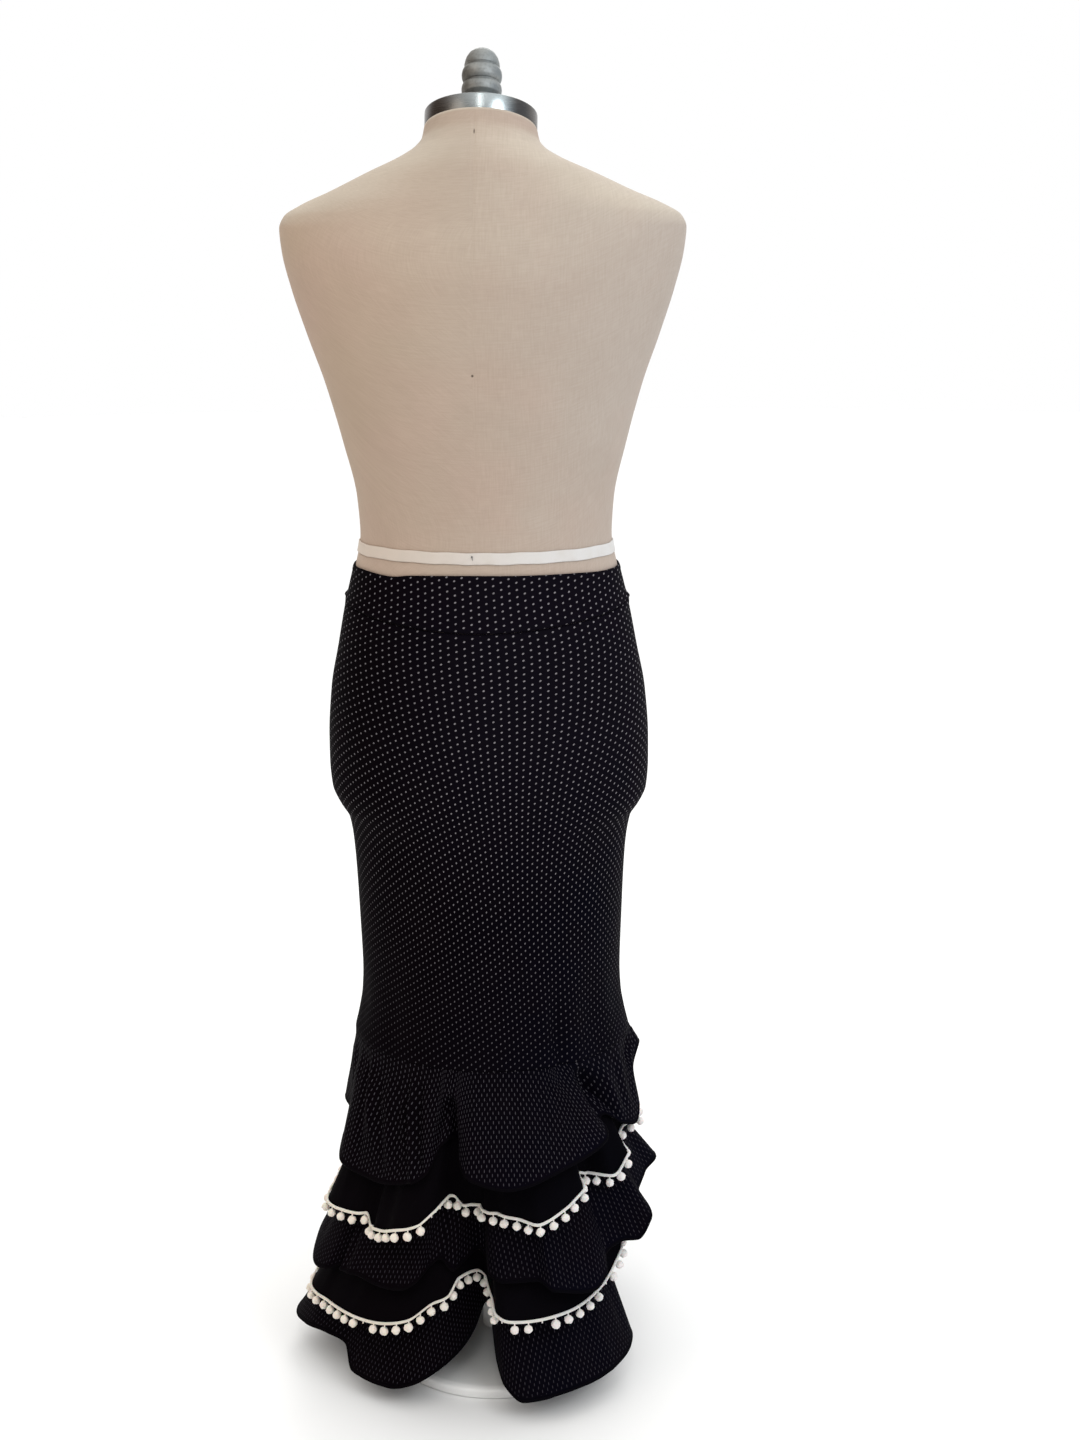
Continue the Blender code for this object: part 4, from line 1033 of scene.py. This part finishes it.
# the flat cut of a flounce: circular pieces, joined in its folds, each turned on the grain
def flatCut(number, angle, run, down, inner):
    cut = sorted((float(wrapped(start)), turn) for start, turn in flounces[number]["cut"])
    starts = [start for start, _ in cut]
    out = inner + down
    layers = []
    for (start, turn), end in zip(cut, starts[1:] + [starts[0] + 360]):
        away = run - np.interp(wrapped((start + end) / 2), angle, run)
        away = (away + run[-1] / 2) % run[-1] - run[-1] / 2
        sweep = away / (inner + float(down[-1].mean())) + math.radians(turn)
        layers.append(np.stack([out * np.cos(sweep), out * np.sin(sweep)], axis=-1))
    between = (angle[:-1] + angle[1:]) / 2
    return np.array(layers), (np.searchsorted(starts, between, side="right") - 1) % len(starts)


def addFlounce(number):
    flounce = flounces[number]
    angle, hemLength = evenHem(number, flounce["step"])
    fall = np.linspace(0, 1, flounce["rows"])[:, None]
    closing = flouncePoints(number, angle[None, :], fall)
    grid = closing[:, :-1]
    down = lengths(closing, 0)
    topLength = float(lengths(closing[:1], 1)[0, -1])
    drop = float(down[-1].mean())
    inner = topLength / max(hemLength - topLength, 0.05) * drop        # radius of the flat circular cut
    run = lengths(closing[-1:], 1)[0]
    yarn = np.stack([np.broadcast_to(run, down.shape), down], axis=-1)
    maps = {"cloth": flatCut(number, angle, run, down, inner), "yarn": yarn}
    cloth, slot = ("plainBlack", "plain_black") if "trim" in flounce else ("dottedFlounce", "dotted_knit")
    toEdge = {"toEdge": (down[-1:] - down)[:, :-1]}
    piece = clothPiece(flounce["name"], grid, maps, cloths[cloth], skirt["wall"], True, toEdge)
    finishPiece(piece, slot, flounce["node"])
    if "trim" in flounce:
        along = addTrim(number, flounce["trim"])
    else:                                           # a narrow rolled edge
        hem, outward, downward = hemFrame(grid)
        line = hem - outward * skirt["wall"] / 2 - downward * 0.0008
        roll = closedTube(line, outward, downward, 8, skirt["hemRoll"] * 0.75, skirt["hemRoll"] * 1.5)
        along = [finishPiece(meshPiece(flounce["name"] + "Roll", *roll, cloths["plainBlack"]), "plain_black")]
    print(f"{flounce['name']}: hem {hemLength:.3f} m, seam {topLength:.3f} m, drop {drop:.3f} m")


# the pompom trims

trim = {
    "band": 0.0033, "wall": 0.0011, "crown": 0.0002, "away": 0.0006, "pitch": 0.0157,
    "ball": 0.0047, "stem": 0.0022, "stemWide": 0.0008, "sewn": 0.0015, "hang": 0.0012, "kinds": 6,
    "cord": 0.00075, "twist": 0.0066, "wave": 0.001,
    "missing": {"pompom_trim_upper": (-16.5,), "pompom_trim_lower": (-42, 23, 47, 9.5)},      # angles of lost balls
}


# a few different balls of cut wool, lumpy and not quite round
def ballKinds():
    kinds = []
    for kind in range(trim["kinds"]):
        builder = bmesh.new()
        bmesh.ops.create_icosphere(builder, subdivisions=4, radius=1.0)
        shift = Vector((kind * 3.1, kind * 1.7, kind * 2.3))
        for vertex in builder.verts:
            lump = noise.noise(vertex.co * 1.3 + shift) * 0.16
            tuft = noise.noise(vertex.co * 7.5 + shift) * 0.13 + noise.noise(vertex.co * 17 + shift) * 0.08
            vertex.co *= 1 + lump + tuft
        kinds.append(shapeOf(builder))
    return kinds


# a hem at even steps, with its directions
def lineAlong(number, step):
    angle, _ = evenHem(number, step)
    fall = np.array([0.9, 0.95, 1.0])[:, None]
    return (angle[:-1], *hemFrame(flouncePoints(number, angle[None, :-1], fall)))


# the woven band, with two cords twisted along its middle
def addBand(number, name):
    wide, wall, cord = trim["band"], trim["wall"], trim["cord"]
    _, hem, out, down = lineAlong(number, trim["twist"] / 8)
    middle = hem + out * (trim["away"] + wall / 2) - down * wide / 2
    section = ((-wall / 2, -wide / 2), (wall / 2, -wide / 2), (wall / 2 + trim["crown"], 0), (wall / 2, wide / 2),
               (-wall / 2, wide / 2))
    parts = [closedRings(np.stack([middle + out * o + down * d for o, d in section], axis=1))]
    turns = round(lengths(np.concatenate([middle, middle[:1]]), 0)[-1] / trim["twist"])
    phase = (np.arange(len(middle)) / len(middle) * turns * 2 * math.pi)[:, None]
    for start in (0, math.pi):
        line = middle + out * (wall / 2 + cord * (0.35 + 0.45 * np.cos(2 * phase + start)))
        line = line + down * trim["wave"] * np.sin(phase + start)
        parts.append(closedTube(line, out, down, 5, cord, cord))
    return finishPiece(meshPiece(name + ".band", *joined(parts), cloths["braidCotton"]), "white_pompoms")


# a short stem for each ball, and the ball, unless it is lost
def addBalls(number, name):
    angles, foot, out, down = lineAlong(number, trim["pitch"])
    kinds = ballKinds()
    parts = []
    for j, angle in enumerate(angles):
        side = Vector(out[j] * [1, 1, 0]).normalized()
        root = Vector(foot[j] + out[j] * (trim["away"] + trim["wall"] / 2))
        lost = min(abs(float(wrapped(angle - gone))) for gone in trim["missing"][name]) < 1.6
        drop = trim["stem"] * (1 + 0.5 * noise.noise(Vector((j * 1.9, 0, number))))
        size = trim["ball"] * (1 + 0.1 * noise.noise(Vector((0, j * 2.3, number))))
        swing = Vector((*(noise.noise(Vector((j * 3.7, seed, number))) for seed in (5, 9)), 0)) * trim["hang"]
        centre = root + side * trim["hang"] + swing - Vector((0, 0, drop + size))
        end = root + (centre - root) * (0.35 if lost else 0.9)
        parts.append(stemTube(root - Vector(down[j]) * trim["sewn"], end, trim["stemWide"]))
        if not lost:
            ball, cells = kinds[j % len(kinds)]
            turn = Matrix.Rotation(j * 2.4, 3, "Z") @ Matrix.Rotation(j * 1.1, 3, "X")
            parts.append((ball * size @ np.array(turn).T + np.array(centre), cells))
    return finishPiece(meshPiece(name + ".balls", *joined(parts), cloths["pompomWool"]), "white_pompoms", name)


def addTrim(number, name):
    return [addBand(number, name), addBalls(number, name)]


def stemTube(start, end, size):
    axis = (end - start).normalized()
    side = axis.orthogonal().normalized()
    other = axis.cross(side)
    turns = [k * math.pi / 3 for k in range(6)]
    points = [tip + (side * math.cos(t) + other * math.sin(t)) * size for tip in (end, start) for t in turns]
    return np.array(points), solidFaces(2, 6)[0]


# several (points, faces) made into one
def joined(parts):
    points, faces, first = [], [], 0
    for some, cells in parts:
        points.append(some)
        faces += [[c + first for c in cell] for cell in cells]
        first += len(some)
    return np.concatenate(points), faces


for number in range(len(flounces)):
    addFlounce(number)
print("flounces and trims made")

# the underskirt keeps its CAD shape and gets the plain cloth
under = next(o for o in bpy.data.objects if o.get("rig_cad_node") == "underskirt" or o.name == "underskirt")
for slot in under.material_slots:
    slot.material = cloths["plainBlack"]
print("underskirt finished")


# floor and light

studio = {
    "floor": (0.86, 0.86, 0.86), "scuffed": (0.86, 0.86, 0.855),
    # the sky's colours: what stands behind the form, overhead, before it, and to its left and right
    "behind": (1.0, 1.0, 1.0), "above": (1.5, 1.5, 1.48), "before": (0.36, 0.345, 0.33),
    "left": (0.3, 0.25, 0.21), "right": (0.6, 0.65, 0.72),
    "aim": (0, 0, 0.85),
    # place, width, height, watts, colour; all aim at the middle of the object
    "lamps": (
        ((1.9, -2.0, 2.75), 1.3, 1.3, 24, (0.95, 0.975, 1.0)),
        ((-2.0, -1.9, 2.65), 1.4, 1.4, 9, (1.0, 0.88, 0.76)),
        ((0.14, -2.1, 3.15), 0.16, 1.3, 6, (1.0, 0.99, 0.97)),
        ((0.0, 2.4, 2.6), 1.6, 1.6, 16, (1.0, 0.98, 0.96)),
    ),
}


def addFloor():
    builder = bmesh.new()
    bmesh.ops.create_circle(builder, cap_ends=True, radius=14.0, segments=96)
    m = newMaterial("floorPaper", Roughness=0.9, Specular_IOR_Level=0.2)
    plug(m, "Base Color", mottled(m, studio["floor"], studio["scuffed"], (3.0,), 0.3, 0.7, 0.0, 0.3))
    floor = meshPiece("floor", *shapeOf(builder), m)
    floor.location.z = -0.0005


def addLight():
    for number, (place, wide, tall, watts, colour) in enumerate(studio["lamps"]):
        data = bpy.data.lights.new(f"softbox{number}", "AREA")
        data.shape, data.size, data.size_y, data.energy, data.color = "ELLIPSE", wide, tall, watts, colour
        lamp = placedObject(data.name, data)
        lamp.location = place
        lamp.rotation_euler = (Vector(studio["aim"]) - Vector(place)).to_track_quat("-Z", "Y").to_euler()
    world = bpy.data.worlds.new("studioWorld")
    bpy.context.scene.world = world
    world.use_nodes = True
    toward = node(world, "SeparateXYZ", None, Vector=node(world, "TexCoord").outputs["Generated"]).outputs
    colour = studio["before"]
    for which, low, high, name in ((0, -0.25, -0.85, "left"), (0, 0.25, 0.85, "right"), (1, 0.35, 0.72, "behind"),
                                   (2, 0.35, 0.75, "above")):
        colour = mixed(world, gradual(world, toward[which], low, high), colour, studio[name])
    fill(world, world.node_tree.nodes["Background"].inputs["Color"], colour)
    bpy.context.scene.view_settings.view_transform = "Standard"


addFloor()
addLight()
print("floor and light made")
